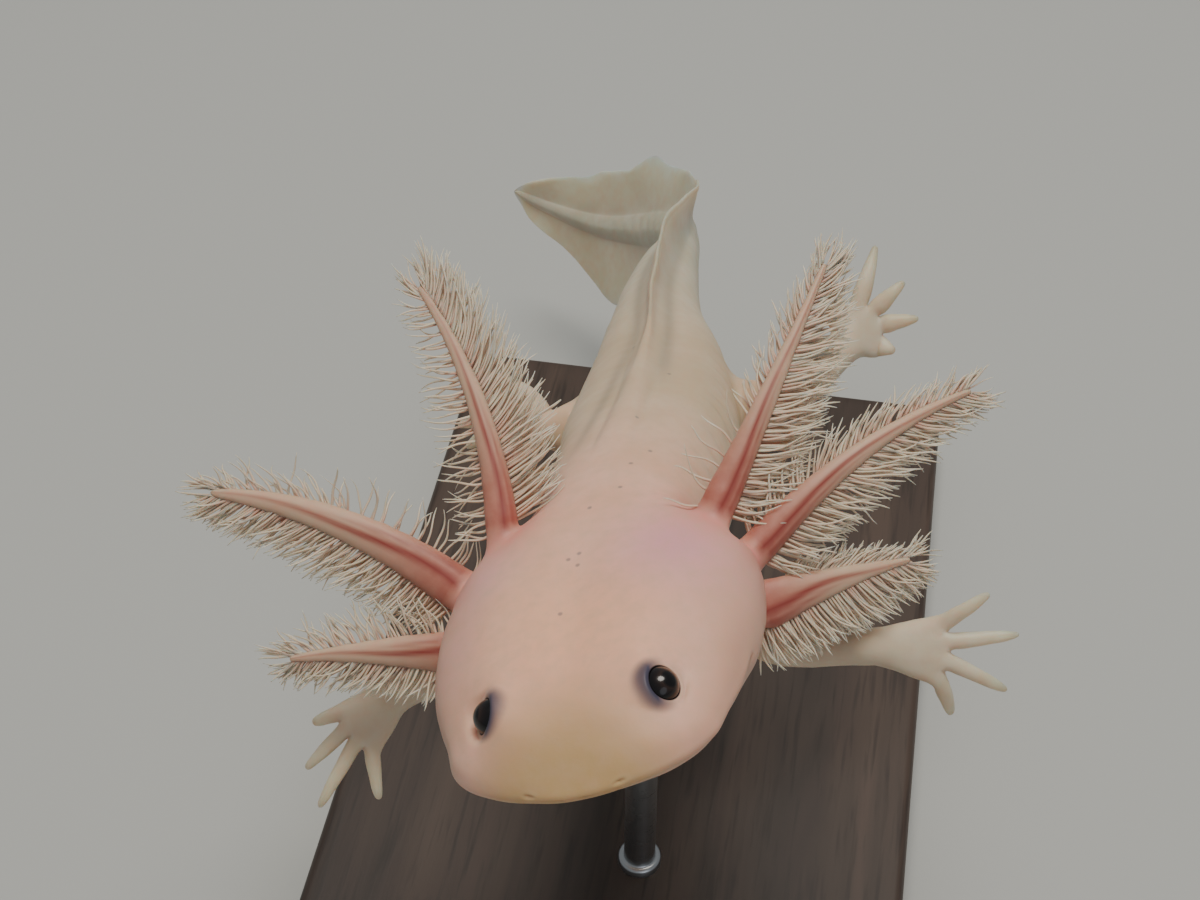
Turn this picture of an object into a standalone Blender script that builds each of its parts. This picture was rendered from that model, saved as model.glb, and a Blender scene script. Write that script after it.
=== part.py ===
"""A life-size axolotl on a plain display stand, built as separate solid parts.

The head faces -Y, the animal's left side is +X and +Z is up. Units are metres.
The origin is the centre of the underside of the stand's base.
"""
import math

import bmesh
import bpy
import numpy as np

for old in list(bpy.data.objects):
    bpy.data.objects.remove(old, do_unlink=True)

MM = 0.001
DEG = math.pi / 180.0

# ---------------------------------------------------------------- driving dimensions
# Lengths are millimetres and angles degrees. Stations are distances along the spine
# from the tip of the snout.
GAP = 0.3                       # clearance between neighbouring solids
BODY_LENGTH = 180.0             # snout to tail tip, along the spine
SNOUT_AT = (4.1, -72.4, 83.5)   # tip of the snout above the base
SNOUT_ROUND = 7.0               # length over which the blunt snout rounds off
SECTION_POWER = 2.3             # 2 is an ellipse; more is squarer

# Spine: station, heading (0 runs to +Y, minus turns to the animal's right),
# pitch of the run towards the tail, bank (plus lifts the left side).
SPINE = (
    (0, -4, -11, 19.6), (26, -4, -11, 19.6), (34, 1, -16, 19.3), (46, 0, -23.5, 17),
    (60, -3, -23, 12), (75, -5, -17.5, 10), (90, -11, -11, 6), (105, -2, -13, 0),
    (120, 1, -21, -8), (135, -22, -32, -16), (150, -43, -34, -19.4),
    (165, -56, -14, -14.7), (182, -70, 9.5, -7),
)
HALF_WIDTH = (
    (0, 7.7), (2, 10.2), (5, 12.2), (9, 13.5), (13, 15.0), (18, 16.2), (22.5, 16.4),
    (26, 16.2), (29, 15.6), (31.5, 13.7), (33.5, 11.5), (36, 9.9), (40, 9.3), (46, 9.5),
    (54, 10.0), (63, 10.3), (72, 9.8), (80, 9.0), (88, 7.6), (96, 6.0), (108, 4.6),
    (120, 3.5), (135, 2.4), (150, 1.6), (165, 1.0), (180, 0.5),
)
BACK_RISE = (
    (0, 1.6), (3, 3.6), (8, 5.4), (13, 6.6), (20, 7.6), (26, 8.0), (32, 8.2), (45, 9.2),
    (62, 9.6), (80, 8.6), (90, 7.6), (102, 6.2), (125, 4.3), (150, 2.8), (180, 0.8),
)
BELLY_DROP = (
    (0, 2.0), (3, 3.2), (8, 4.4), (13, 5.2), (20, 6.0), (26, 6.6), (32, 7.4), (45, 9.6),
    (62, 11.0), (80, 9.0), (90, 7.4), (102, 6.0), (125, 4.2), (150, 2.8), (180, 0.8),
)
UPPER_FIN = (
    (0, 0), (38, 0), (46, 0.6), (60, 1.2), (75, 1.8), (88, 2.8), (100, 4.7), (115, 5.9),
    (126, 5.7), (136, 6.0), (146, 7.5), (155, 7.1), (170, 4.9), (177, 2.5), (180, 0.7),
)
LOWER_FIN = (
    (0, 0), (86, 0), (92, 1.5), (102, 4.2), (116, 6.6), (128, 7.6), (140, 8.4), (150, 9.7),
    (158, 10.4), (164, 8.0), (168, 5.4), (172, 3.8), (177, 2.0), (180, 0.6),
)
FIN_ROOT_HALF = 0.75            # half thickness of a fin where it leaves the body
FIN_EDGE_HALF = 0.3             # half thickness at its free edge

# Where the body is parted: name, first and last station, rings, points per ring.
BODY_PARTS = (
    ("head", 0.1, 31.0, 15, 20), ("neck", 31.0, 39.0, 5, 20),
    ("trunk_front", 39.0, 62.0, 7, 20), ("trunk_rear", 62.0, 87.0, 7, 20),
    ("tail_root", 87.0, 108.0, 7, 14), ("tail_middle", 108.0, 130.0, 7, 12),
    ("tail_bend", 130.0, 152.0, 7, 12), ("tail_end", 152.0, 177.0, 7, 10),
)
# Fins: name, first and last station, rings, side (+1 above, -1 below).
FIN_PARTS = (
    ("fin_back", 50.0, 87.0, 10, 1), ("fin_tail_upper_front", 87.0, 130.0, 12, 1),
    ("fin_tail_upper_rear", 130.0, 179.6, 15, 1), ("fin_tail_lower_front", 92.0, 130.0, 11, -1),
    ("fin_tail_lower_rear", 130.0, 179.6, 15, -1),
)

# Eyes: station, distance from the midline, height above the spine, radius.
EYE_AT = (8.1, 7.85, 3.9)
EYE_SHIFT = 0.45
EYE_RADIUS = 1.85

# Gills: name, root (station, side, height), length, heading and lift at the root and
# at the tip (heading 0 is +X, 90 is +Y), half width of the stalk at its root, power by
# which it tapers and length of the longest filament.
GILLS = (
    ("gill_right_top", (31.2, -9.9, 5.0), 30.4, (103, 34), (138, 25), 1.85, 1.05, 5.4),
    ("gill_right_middle", (29.6, -13.2, 0.0), 32.1, (157, 25), (180, -4), 2.5, 0.72, 4.4),
    ("gill_right_bottom", (27.0, -11.7, -4.0), 22.6, (-173, 7), (-171, -13), 2.95, 1.15, 3.6),
    ("gill_left_top", (31.2, 11.0, 3.8), 30.4, (69, 34), (75, 24), 2.0, 1.3, 4.4),
    ("gill_left_middle", (29.6, 13.2, -0.6), 31.5, (53, 32), (39, -2), 2.0, 1.15, 4.0),
    ("gill_left_bottom", (26.9, 12.7, -4.2), 18.6, (29, 13), (33, -8), 3.0, 1.3, 3.6),
)
GILL_RINGS = 12
GILL_DEPTH = 1.25               # half thickness of a stalk at its root
GILL_TIP_HALF = 0.4             # half size of a stalk at its tip
GILL_FACE = (-80, 48)           # heading and lift of the direction the blades face
FILAMENT_HALF = 0.3             # half thickness of a filament bundle at its tip
FILAMENT_SWEEP = 0.55           # how far the bundles lean towards the tip of the stalk

# Legs: name, root (station, side, height), then the long bones as (length, heading,
# lift), the way the back of the foot faces, the half widths and half heights of the
# rings, and the toes as (reach from the middle of the foot, heading, lift).
ARM_RINGS = ((2.6, 3.0), (2.3, 2.5), (2.0, 2.1), (1.9, 1.9), (1.75, 1.6), (2.7, 1.25), (3.5, 0.9))
LEG_RINGS = ((3.4, 3.6), (2.9, 3.0), (2.3, 2.4), (2.1, 2.1), (2.0, 1.7), (3.2, 1.3), (4.1, 0.85))
PALM_REACH = 1.9                # how far the web between the toes runs past the middle of the foot
LEGS = (
    ("leg_front_right", (37.0, -5.0, -3.5), ((16.1, -162, -40), (8.7, -149, -10), (4.7, -124, -10)),
     (-80, 48), ARM_RINGS,
     ((5.1, -168, 6), (7.3, -134, -16), (9.6, -109, -25), (7.9, -64, -33))),
    ("leg_front_left", (37.0, 5.0, -3.5), ((12.8, -22, -22), (11.0, -2, 18), (4.8, -5, 11)),
     (-80, 48), ARM_RINGS,
     ((7.6, -37, -58), (9.2, -3, -26), (9.0, 15, 9), (8.3, 32, 44))),
    ("leg_hind_right", (80.0, -5.0, -3.5), ((11.6, -142, 20), (8.2, 117, -17), (3.8, 179, -37)),
     (-100, 55), LEG_RINGS,
     ((5.5, 95, -20), (7.0, 130, -30), (7.6, 165, -35), (7.0, 200, -38), (5.5, 235, -38))),
    ("leg_hind_left", (80.0, 5.0, -3.5), ((14.0, -16, 35), (10.4, 58, 11), (2.8, 52, 34)),
     (-80, 45), LEG_RINGS,
     ((6.9, -49, 10), (7.1, -5, 21), (6.9, 40, 37), (9.6, 87, 38), (6.0, 140, 22))),
)
TOE_HALF = (0.92, 0.8, 0.62, 0.4)       # half width of a toe from its root to its tip
TOE_STEPS = (0.22, 0.52, 0.82, 1.0)     # where along the toe those widths lie

# Stand: a flat base with eased edges and two rods up to the belly.
BASE_SIZE = (76.0, 126.0, 9.0)
BASE_CORNER = 5.0
BASE_EASE = 1.2
ROD_RADIUS = 2.0
ROD_STATIONS = (("stand_rod_front", 47.0), ("stand_rod_rear", 81.0))
ROD_SINK = 4.0                  # depth of the blind hole that takes each rod

# Colours, roughness and metallic of the materials.
MATERIALS = {
    "skin": ((0.66, 0.47, 0.36), 0.42, 0.0),
    "fin_skin": ((0.55, 0.47, 0.36), 0.42, 0.0),
    "gill_skin": ((0.52, 0.20, 0.16), 0.42, 0.0),
    "eye": ((0.012, 0.010, 0.012), 0.08, 0.0),
    "walnut": ((0.050, 0.036, 0.027), 0.45, 0.0),
    "steel": ((0.56, 0.57, 0.58), 0.30, 1.0),
}


# ---------------------------------------------------------------- shared functions
def follow(table, at, column=1):
    """Value at the given stations of a smooth curve that never overshoots its rows."""
    rows = np.array(table, float)
    x = rows[:, 0]
    y = rows[:, column]
    step = np.diff(x)
    slope = np.diff(y) / step
    first = 2.0 * step[1:] + step[:-1]
    second = step[1:] + 2.0 * step[:-1]
    same = slope[:-1] * slope[1:] > 0.0
    near = np.where(same, slope[:-1], 1.0)
    far = np.where(same, slope[1:], 1.0)
    middle = np.where(same, (first + second) / (first / near + second / far), 0.0)
    tangent = np.concatenate([[slope[0]], middle, [slope[-1]]])
    at = np.clip(np.asarray(at, float), x[0], x[-1])
    i = np.clip(np.searchsorted(x, at) - 1, 0, len(step) - 1)
    t = (at - x[i]) / step[i]
    return ((2 * t**3 - 3 * t**2 + 1) * y[i] + (t**3 - 2 * t**2 + t) * step[i] * tangent[i]
            + (3 * t**2 - 2 * t**3) * y[i + 1] + (t**3 - t**2) * step[i] * tangent[i + 1])


def aim(heading, lift):
    """Unit vector that heads round from +X and lifts from level, both in degrees."""
    h = heading * DEG
    e = lift * DEG
    return np.array([math.cos(h) * math.cos(e), math.sin(h) * math.cos(e), math.sin(e)])


def unit(v):
    """The vector scaled to length one."""
    return v / np.linalg.norm(v)


FINE = np.linspace(0.0, BODY_LENGTH, 721)


def lay_spine():
    """Run the spine back from the snout; returns places, run, left and up at FINE."""
    heading, pitch, bank = (follow(SPINE, FINE, k) * DEG for k in (1, 2, 3))
    run = np.stack([np.sin(heading) * np.cos(pitch), np.cos(heading) * np.cos(pitch),
                    np.sin(pitch)], 1)
    step = (run[1:] + run[:-1]) / 2.0 * (FINE[1] - FINE[0])
    place = np.array(SNOUT_AT) + np.concatenate([np.zeros((1, 3)), np.cumsum(step, 0)])
    level = np.stack([np.cos(heading), -np.sin(heading), 0.0 * heading], 1)
    above = np.cross(level, run)
    turn = np.cos(bank)[:, None]
    lean = np.sin(bank)[:, None]
    return place, run, turn * level + lean * above, turn * above - lean * level


PLACE, RUN, LEFT, ABOVE = lay_spine()


def frame_at(station):
    """Place, run, left and up of the spine at one station."""
    return [np.array([np.interp(station, FINE, a[:, k]) for k in range(3)])
            for a in (PLACE, RUN, LEFT, ABOVE)]


def body_point(station, side, height):
    """Point set off from the spine to the left and up."""
    place, _, left, above = frame_at(station)
    return place + side * left + height * above


def sizes(station):
    """Half width, rise of the back and drop of the belly at one station."""
    x = min(max(station / SNOUT_ROUND, 0.0), 1.0)
    close = (1.0 - (1.0 - x) ** SECTION_POWER) ** (1.0 / SECTION_POWER)
    return (float(follow(HALF_WIDTH, station)) * close,
            float(follow(BACK_RISE, station)) * close ** 0.9,
            float(follow(BELLY_DROP, station)) * close ** 0.9)


def body_ring(station, count, grow=0.0, shift=0.0):
    """Ring round the body, swelled by grow and moved along the spine by shift."""
    place, run, left, above = frame_at(station)
    wide, rise, drop = sizes(station)
    ring = []
    for k in range(count):
        a = 2.0 * math.pi * k / count
        c = math.cos(a)
        s = math.sin(a)
        x = (wide + grow) * math.copysign(abs(s) ** (2.0 / SECTION_POWER), s)
        tall = (rise if c >= 0 else drop) + grow
        z = tall * math.copysign(abs(c) ** (2.0 / SECTION_POWER), c)
        ring.append(place + shift * run + x * left + z * above)
    return ring


def make_object(name, vertices, faces, material):
    """Mesh object from points in millimetres, faces turned outwards."""
    mesh = bpy.data.meshes.new(name)
    mesh.from_pydata([tuple(np.asarray(v) * MM) for v in vertices], [], faces)
    work = bmesh.new()
    work.from_mesh(mesh)
    bmesh.ops.recalc_face_normals(work, faces=work.faces)
    work.to_mesh(mesh)
    work.free()
    mesh.materials.append(bpy.data.materials[material])
    thing = bpy.data.objects.new(name, mesh)
    bpy.context.collection.objects.link(thing)
    return thing


def loft(name, rings, material):
    """Closed solid through a run of rings of equal count, capped at both ends."""
    count = len(rings[0])
    vertices = [p for ring in rings for p in ring]
    faces = []
    for r in range(len(rings) - 1):
        for k in range(count):
            n = (k + 1) % count
            faces.append((r * count + k, r * count + n, (r + 1) * count + n, (r + 1) * count + k))
    faces.append(tuple(range(count)))
    faces.append(tuple((len(rings) - 1) * count + k for k in range(count)))
    return make_object(name, vertices, faces, material)


def cut(thing, cutter):
    """Take the cutter's volume out of the thing with an exact boolean."""
    step = thing.modifiers.new("clear " + cutter.name, "BOOLEAN")
    step.operation = "DIFFERENCE"
    step.solver = "EXACT"
    step.object = cutter


def as_cutter(thing):
    """Mark an object as a cutting tool that is not itself part of the model."""
    thing.hide_render = True
    thing.display_type = "WIRE"
    return thing


for title, (colour, rough, metal) in MATERIALS.items():
    material = bpy.data.materials.new(title)
    material.use_nodes = True
    shader = material.node_tree.nodes["Principled BSDF"]
    shader.inputs["Base Color"].default_value = (*colour, 1.0)
    shader.inputs["Roughness"].default_value = rough
    shader.inputs["Metallic"].default_value = metal


# ---------------------------------------------------------------- head, neck, trunk, tail
# Each length of the body is a loft of superellipse rings; neighbours part on a plane
# square to the spine.
body = {}
for name, start, end, rings, points in BODY_PARTS:
    if name == "head":
        ease = 1.0 - np.cos(np.linspace(0.0, math.pi / 2.0, rings))
        stations = start + (end - start) * (0.55 * ease + 0.45 * np.linspace(0.0, 1.0, rings) ** 1.4)
    else:
        stations = np.linspace(start, end, rings)
    lengthwise = []
    for k, station in enumerate(stations):
        shift = 0.0
        if k == 0 and name != "head":
            shift = GAP / 2.0
        if k == rings - 1:
            shift = -GAP / 2.0
        lengthwise.append(body_ring(float(station), points, shift=shift))
    body[name] = loft(name, lengthwise, "skin")

# ---------------------------------------------------------------- fins
# Low skin folds: a long one from the back to the tail tip and one below from the vent.
for name, start, end, rings, side in FIN_PARTS:
    lengthwise = []
    for k, station in enumerate(np.linspace(start, end, rings)):
        place, run, left, above = frame_at(station)
        _, rise, drop = sizes(station)
        core = rise if side > 0 else drop
        if station > BODY_PARTS[-1][2]:
            core = max(0.0, core * (BODY_LENGTH - station) / BODY_LENGTH)
        root = max(core + GAP, GAP / 2.0 + 0.05)
        edge = max(core, 0.3) + float(follow(UPPER_FIN if side > 0 else LOWER_FIN, station))
        edge = max(edge, root + 0.45)
        slim = min(1.0, 0.45 + (edge - root) / 4.0)
        half = max(FIN_EDGE_HALF, FIN_ROOT_HALF * slim)
        shift = 0.0
        if k == 0 and name != "fin_back" and name != "fin_tail_lower_front":
            shift = GAP / 2.0
        if k == rings - 1 and end < 179.0:
            shift = -GAP / 2.0
        place = place + shift * run
        lengthwise.append([place + x * left + side * z * above for x, z in (
            (-half, root), (-FIN_EDGE_HALF, edge), (FIN_EDGE_HALF, edge), (half, root))])
    loft(name, lengthwise, "fin_skin")

# ---------------------------------------------------------------- clearance tool
# The body swelled by the gap; it trims whatever grows from the body or holds it up.
tool_stations = list(np.linspace(18.0, 100.0, 42))
clearance = as_cutter(loft("body_clearance", [body_ring(float(s), 20, grow=GAP + 0.05)
                                              for s in tool_stations], "skin"))

# ---------------------------------------------------------------- eyes
# Small dark balls, set into round sockets on the top corners of the head.
for side, name in ((-1, "eye_right"), (1, "eye_left")):
    centre = body_point(EYE_AT[0], side * EYE_AT[1] + EYE_SHIFT, EYE_AT[2])
    for radius, title in ((EYE_RADIUS, name), (EYE_RADIUS + GAP, name + "_socket_tool")):
        ball = bmesh.new()
        bmesh.ops.create_uvsphere(ball, u_segments=12, v_segments=8, radius=radius * MM)
        mesh = bpy.data.meshes.new(title)
        ball.to_mesh(mesh)
        ball.free()
        mesh.materials.append(bpy.data.materials["eye"])
        thing = bpy.data.objects.new(title, mesh)
        thing.location = tuple(centre * MM)
        bpy.context.collection.objects.link(thing)
        if radius > EYE_RADIUS:
            cut(body["head"], as_cutter(thing))


# ---------------------------------------------------------------- gills
def gill(name, root, length, start, end, width, power, reach):
    """Tapered six-sided stalk whose two side faces grow a comb of filament bundles."""
    heading = np.linspace(start[0], end[0], GILL_RINGS)
    lift = np.linspace(start[1], end[1], GILL_RINGS)
    point = body_point(*root)
    vertices = []
    faces = []
    face_way = aim(*GILL_FACE)
    sides = []
    for k in range(GILL_RINGS):
        run = aim(heading[k], lift[k])
        if k:
            point = point + run * length / (GILL_RINGS - 1)
        across = unit(np.cross(run, face_way))
        front = np.cross(across, run)
        t = k / (GILL_RINGS - 1)
        wide = GILL_TIP_HALF + (width - GILL_TIP_HALF) * (1.0 - t) ** power
        deep = GILL_TIP_HALF + (GILL_DEPTH - GILL_TIP_HALF) * (1.0 - t) ** power
        for x, z in ((1.0, 0.5), (0.0, 1.0), (-1.0, 0.5), (-1.0, -0.5), (0.0, -1.0), (1.0, -0.5)):
            vertices.append(point + x * wide * across + z * deep * front)
        sides.append((run, across, front, t))
    for k in range(GILL_RINGS - 1):
        run, across, front, t = sides[k]
        for j in range(6):
            a = k * 6 + j
            b = k * 6 + (j + 1) % 6
            quad = (a, b, b + 6, a + 6)
            way = {2: -1.0, 5: 1.0}.get(j)
            if way is None or t < 0.2:
                faces.append(quad)
                continue
            long = reach * (0.45 + 0.55 * math.sin(math.pi * min(1.0, t * 1.15)))
            lean = unit(way * across + FILAMENT_SWEEP * run - 0.25 * front)
            middle = sum(vertices[i] for i in quad) / 4.0
            tip = middle + long * lean
            base = len(vertices)
            half = FILAMENT_HALF
            for i in quad:
                level = 1.0 if np.dot(vertices[i] - middle, front) > 0 else -1.0
                sway = 1.0 if np.dot(vertices[i] - middle, run) > 0 else -1.0
                spread = unit(run - np.dot(run, lean) * lean)
                vertices.append(tip + level * half * front + sway * half * spread)
            for i in range(4):
                n = (i + 1) % 4
                faces.append((quad[i], quad[n], base + n, base + i))
            faces.append(tuple(range(base, base + 4)))
    faces.append(tuple(range(6)))
    faces.append(tuple((GILL_RINGS - 1) * 6 + j for j in range(6)))
    thing = make_object(name, vertices, faces, "gill_skin")
    cut(thing, clearance)


for row in GILLS:
    gill(*row)


# ---------------------------------------------------------------- legs
def leg(name, root, bones, back_way, ring_sizes, toes):
    """Limb lofted through its joints, flattened to a foot that splits into toes."""
    joints = [body_point(*root)]
    for length, heading, lift in bones:
        joints.append(joints[-1] + length * aim(heading, lift))
    shoulder, elbow, wrist, foot = joints
    ahead = unit(foot - wrist)
    spots = [shoulder, shoulder * 0.5 + elbow * 0.5, elbow, elbow * 0.5 + wrist * 0.5, wrist,
             wrist * 0.4 + foot * 0.6, foot + ahead * PALM_REACH]
    half_count = len(toes) + 1
    back_of_foot = aim(*back_way)
    vertices = []
    for k, spot in enumerate(spots):
        before = spots[max(k - 1, 0)]
        after = spots[min(k + 1, len(spots) - 1)]
        run = unit(after - before)
        across = unit(np.cross(run, back_of_foot))
        front = np.cross(across, run)
        wide, tall = ring_sizes[k]
        flat = min(1.0, max(0.0, (k - 3) / 3.0))
        upper = []
        for j in range(half_count):
            a = math.pi * (j + 0.5) / half_count
            even = 1.0 - 2.0 * j / (half_count - 1)
            x = (1.0 - flat) * math.cos(a) + flat * even
            z = (1.0 - flat) * math.sin(a) + flat * (1.0 - 0.35 * even * even)
            upper.append((x * wide, z * tall))
        for x, z in upper + [(x, -z) for x, z in reversed(upper)]:
            vertices.append(spot + x * across + z * front)
    count = 2 * half_count
    faces = [tuple(range(count))]
    for k in range(len(spots) - 1):
        for j in range(count):
            n = (j + 1) % count
            faces.append((k * count + j, k * count + n, (k + 1) * count + n, (k + 1) * count + j))
    last = (len(spots) - 1) * count
    for i, (reach, heading, lift) in enumerate(toes):
        loop = (last + i, last + i + 1, last + count - 2 - i, last + count - 1 - i)
        start = sum(vertices[v] for v in loop) / 4.0
        tip = foot + reach * aim(heading, lift)
        way = unit(tip - start)
        across = unit(np.cross(way, back_of_foot))
        front = np.cross(across, way)
        previous = loop
        for step, half in zip(TOE_STEPS, TOE_HALF):
            middle = start + step * (tip - start)
            base = len(vertices)
            for x, z in ((1, 1), (-1, 1), (-1, -1), (1, -1)):
                vertices.append(middle + 0.85 * half * (x * across + 0.8 * z * front))
            ring = tuple(range(base, base + 4))
            for j in range(4):
                n = (j + 1) % 4
                faces.append((previous[j], previous[n], ring[n], ring[j]))
            previous = ring
        faces.append(previous)
    thing = make_object(name, vertices, faces, "skin")
    cut(thing, clearance)


for row in LEGS:
    leg(*row)

# ---------------------------------------------------------------- stand
# Flat base with rounded corners and eased top edge, bored for the two rods.
wide, long, thick = BASE_SIZE
outline = []
for corner, (sx, sy) in enumerate(((1, 1), (-1, 1), (-1, -1), (1, -1))):
    for k in range(5):
        a = (corner * 90.0 + k * 22.5) * DEG
        outline.append((sx * (wide / 2.0 - BASE_CORNER), sy * (long / 2.0 - BASE_CORNER),
                        math.cos(a), math.sin(a)))


def base_ring(inset, height):
    """Rounded rectangle drawn in by inset, at a height above the floor."""
    reach = BASE_CORNER - inset
    return [np.array([x + reach * c, y + reach * s, height]) for x, y, c, s in outline]


base = loft("stand_base", [base_ring(0.5, 0.0), base_ring(0.0, 0.5),
                           base_ring(0.0, thick - BASE_EASE),
                           base_ring(BASE_EASE * 0.3, thick - BASE_EASE * 0.3),
                           base_ring(BASE_EASE, thick)], "walnut")


def post(name, x, y, radius, low, high, material):
    """Upright twelve-sided rod."""
    rings = [[np.array([x + radius * math.cos(k * 30.0 * DEG), y + radius * math.sin(k * 30.0 * DEG), z])
              for k in range(12)] for z in (low, high)]
    return loft(name, rings, material)


for name, station in ROD_STATIONS:
    under = body_point(station, 0.0, -sizes(station)[2] * 0.6)
    rod = post(name, under[0], under[1], ROD_RADIUS, thick - ROD_SINK, under[2], "steel")
    cut(rod, clearance)
    bore = as_cutter(post(name + "_bore_tool", under[0], under[1], ROD_RADIUS + GAP,
                          thick - ROD_SINK - GAP, thick + 3.0, "steel"))
    cut(base, bore)
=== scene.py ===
"""The finished looks of a life-size axolotl model on a plain display stand.

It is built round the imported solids, in their frame: the head faces -Y, the animal's
left side is +X and +Z is up. Shapes are worked out in millimetres and put into the
meshes in metres.
"""
import math

import bmesh
import bpy
import numpy as np
from mathutils import Matrix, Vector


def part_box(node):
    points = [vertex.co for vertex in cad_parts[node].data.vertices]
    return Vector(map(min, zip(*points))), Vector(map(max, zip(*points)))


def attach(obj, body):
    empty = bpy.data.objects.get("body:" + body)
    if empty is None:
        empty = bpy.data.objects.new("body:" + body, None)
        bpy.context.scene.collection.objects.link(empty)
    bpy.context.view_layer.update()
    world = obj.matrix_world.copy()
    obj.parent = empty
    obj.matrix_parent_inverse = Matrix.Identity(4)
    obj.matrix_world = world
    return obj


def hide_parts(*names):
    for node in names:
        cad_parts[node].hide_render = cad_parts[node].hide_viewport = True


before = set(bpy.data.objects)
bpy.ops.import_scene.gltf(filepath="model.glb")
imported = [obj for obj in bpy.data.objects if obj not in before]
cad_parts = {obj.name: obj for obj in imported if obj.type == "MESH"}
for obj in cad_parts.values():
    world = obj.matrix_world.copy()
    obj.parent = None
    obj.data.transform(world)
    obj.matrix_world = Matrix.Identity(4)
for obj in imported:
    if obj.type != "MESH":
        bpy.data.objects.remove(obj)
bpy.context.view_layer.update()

MM = 0.001

# ------------------------------------------------------------------ camera
# A short telephoto lens looks down on the front of the animal from 45 degrees above
# level, turned 10 degrees to its left, and centred a little above its neck.
CAMERA_TURN = math.radians(10.0)
CAMERA_RISE = math.radians(45.0)
CAMERA_REACH = 184.0            # from the lens to the point that it centres on
CAMERA_AIM = (1.0, -42.0, 96.0)
CAMERA_LENS = 58.86             # on a sensor 36 mm wide



def set_facing(thing, place, right, back):
    """Puts a camera or light at a place in metres, with its right, its back and, square to
    both, its up along the ways given."""
    matrix = np.eye(4)
    matrix[:3] = np.stack([right, np.cross(back, right), back, place], 1)
    thing.matrix_world = Matrix(matrix.tolist())
    bpy.context.collection.objects.link(thing)


back = np.array([math.sin(CAMERA_TURN) * math.cos(CAMERA_RISE),
                 -math.cos(CAMERA_TURN) * math.cos(CAMERA_RISE), math.sin(CAMERA_RISE)])
lens = bpy.data.cameras.new("display_camera")
lens.sensor_width = 36.0
lens.lens = CAMERA_LENS
lens.clip_start = 0.01
camera = bpy.data.objects.new("display_camera", lens)
set_facing(camera, (np.array(CAMERA_AIM) + CAMERA_REACH * back) * MM,
           np.array([math.cos(CAMERA_TURN), math.sin(CAMERA_TURN), 0.0]), back)
bpy.context.scene.camera = camera

# ------------------------------------------------------------------ skin
# One moist, scaleless skin from the snout to the tail tip, over the head, trunk, legs
# and the stalks of the gills. It is smooth and slightly see-through, drawn up into a low
# fold along the back and into thin fins above and below the tail.
BODY_LENGTH = 180.0
SNOUT_AT = (4.1, -72.4, 83.5)
SNOUT_ROUND = 7.0               # length over which the blunt snout rounds off
TAIL_ROUND = 4.0                # and the tip of the tail
SECTION_POWER = 2.3             # 2 is an ellipse; more is squarer
TAIL_POWER = 1.55               # less runs out flat into the fins, like a lens
FLATTENS = (98.0, 132.0)        # stations between which the section goes from one to the other

# Station along the spine, heading, pitch and bank, in millimetres and degrees.
SPINE = (
    (0, -4, -11, 19.6), (26, -4, -11, 19.6), (34, 1, -16, 19.3), (46, 0, -23.5, 17),
    (60, -3, -23, 12), (75, -5, -17.5, 10), (90, -11, -11, 6), (105, -2, -13, 0),
    (120, 1, -21, -8), (135, -22, -32, -16), (150, -43, -34, -19.4),
    (165, -56, -14, -14.7), (182, -70, 9.5, -7),
)
HALF_WIDTH = (
    (0, 7.7), (2, 10.2), (5, 12.2), (9, 13.5), (13, 15.0), (18, 16.2), (22.5, 16.4),
    (26, 16.2), (29, 15.6), (31.5, 13.7), (33.5, 11.5), (36, 9.9), (40, 9.3), (46, 9.5),
    (54, 10.0), (63, 10.3), (72, 9.8), (80, 9.0), (88, 7.6), (96, 6.0), (108, 4.6),
    (120, 3.2), (135, 1.8), (150, 1.15), (165, 0.85), (180, 0.5),
)
BACK_RISE = (
    (0, 1.6), (3, 3.6), (8, 5.4), (13, 6.6), (20, 7.6), (26, 8.0), (32, 8.2), (45, 9.2),
    (62, 9.6), (80, 8.6), (90, 7.6), (102, 6.2), (125, 4.3), (150, 2.8), (180, 0.8),
)
BELLY_DROP = (
    (0, 2.0), (3, 3.2), (8, 4.4), (13, 5.2), (20, 6.0), (26, 6.6), (32, 7.4), (45, 9.6),
    (62, 11.0), (80, 9.0), (90, 7.4), (102, 6.0), (125, 4.2), (150, 2.8), (180, 0.8),
)
UPPER_FIN = (
    (0, 0), (38, 0), (46, 0.6), (60, 1.2), (75, 1.8), (88, 2.8), (100, 4.7), (115, 5.9),
    (126, 5.7), (136, 6.0), (146, 7.5), (155, 7.1), (170, 4.9), (177, 2.5), (180, 0.7),
)
LOWER_FIN = (
    (0, 0), (86, 0), (92, 1.5), (102, 4.2), (116, 6.6), (128, 7.6), (140, 8.4), (150, 9.7),
    (158, 10.4), (164, 8.0), (168, 5.4), (172, 3.8), (177, 2.0), (180, 0.6),
)
# Lengthwise lines of the skin counted from the crest of a fin: half thickness there,
# share of the fin's height, and how firmly the line is drawn in to that thickness.
FIN_LINES = ((0.0, 1.0, 1.0), (0.28, 0.93, 1.0), (0.42, 0.6, 1.0), (0.75, 0.26, 0.8),
             (1.3, 0.07, 0.4))
FIN_FULL = 2.6                  # height at which a fold has become a thin fin
FIN_LEAST = 0.26                # least half thickness of a fin beside its crest

AROUND = 48                     # lengthwise lines of the skin
RING_GAP = (                    # distance between the skin's rings along the spine
    (0, 0.12), (1, 0.5), (3, 0.9), (7, 1.15), (26, 1.35), (42, 2.0), (86, 2.1),
    (100, 2.8), (170, 3.0), (177, 1.4), (180, 0.7),
)
# How far the lines are drawn towards the sides of the body, and towards the brows.
SIDE_CROWD = ((0, 0.36), (20, 0.30), (34, 0.0), (45, -0.22), (180, -0.25))
BROW_CROWD = ((0, 0.05), (20, 0.04), (34, 0.0), (180, 0.0))

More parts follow.
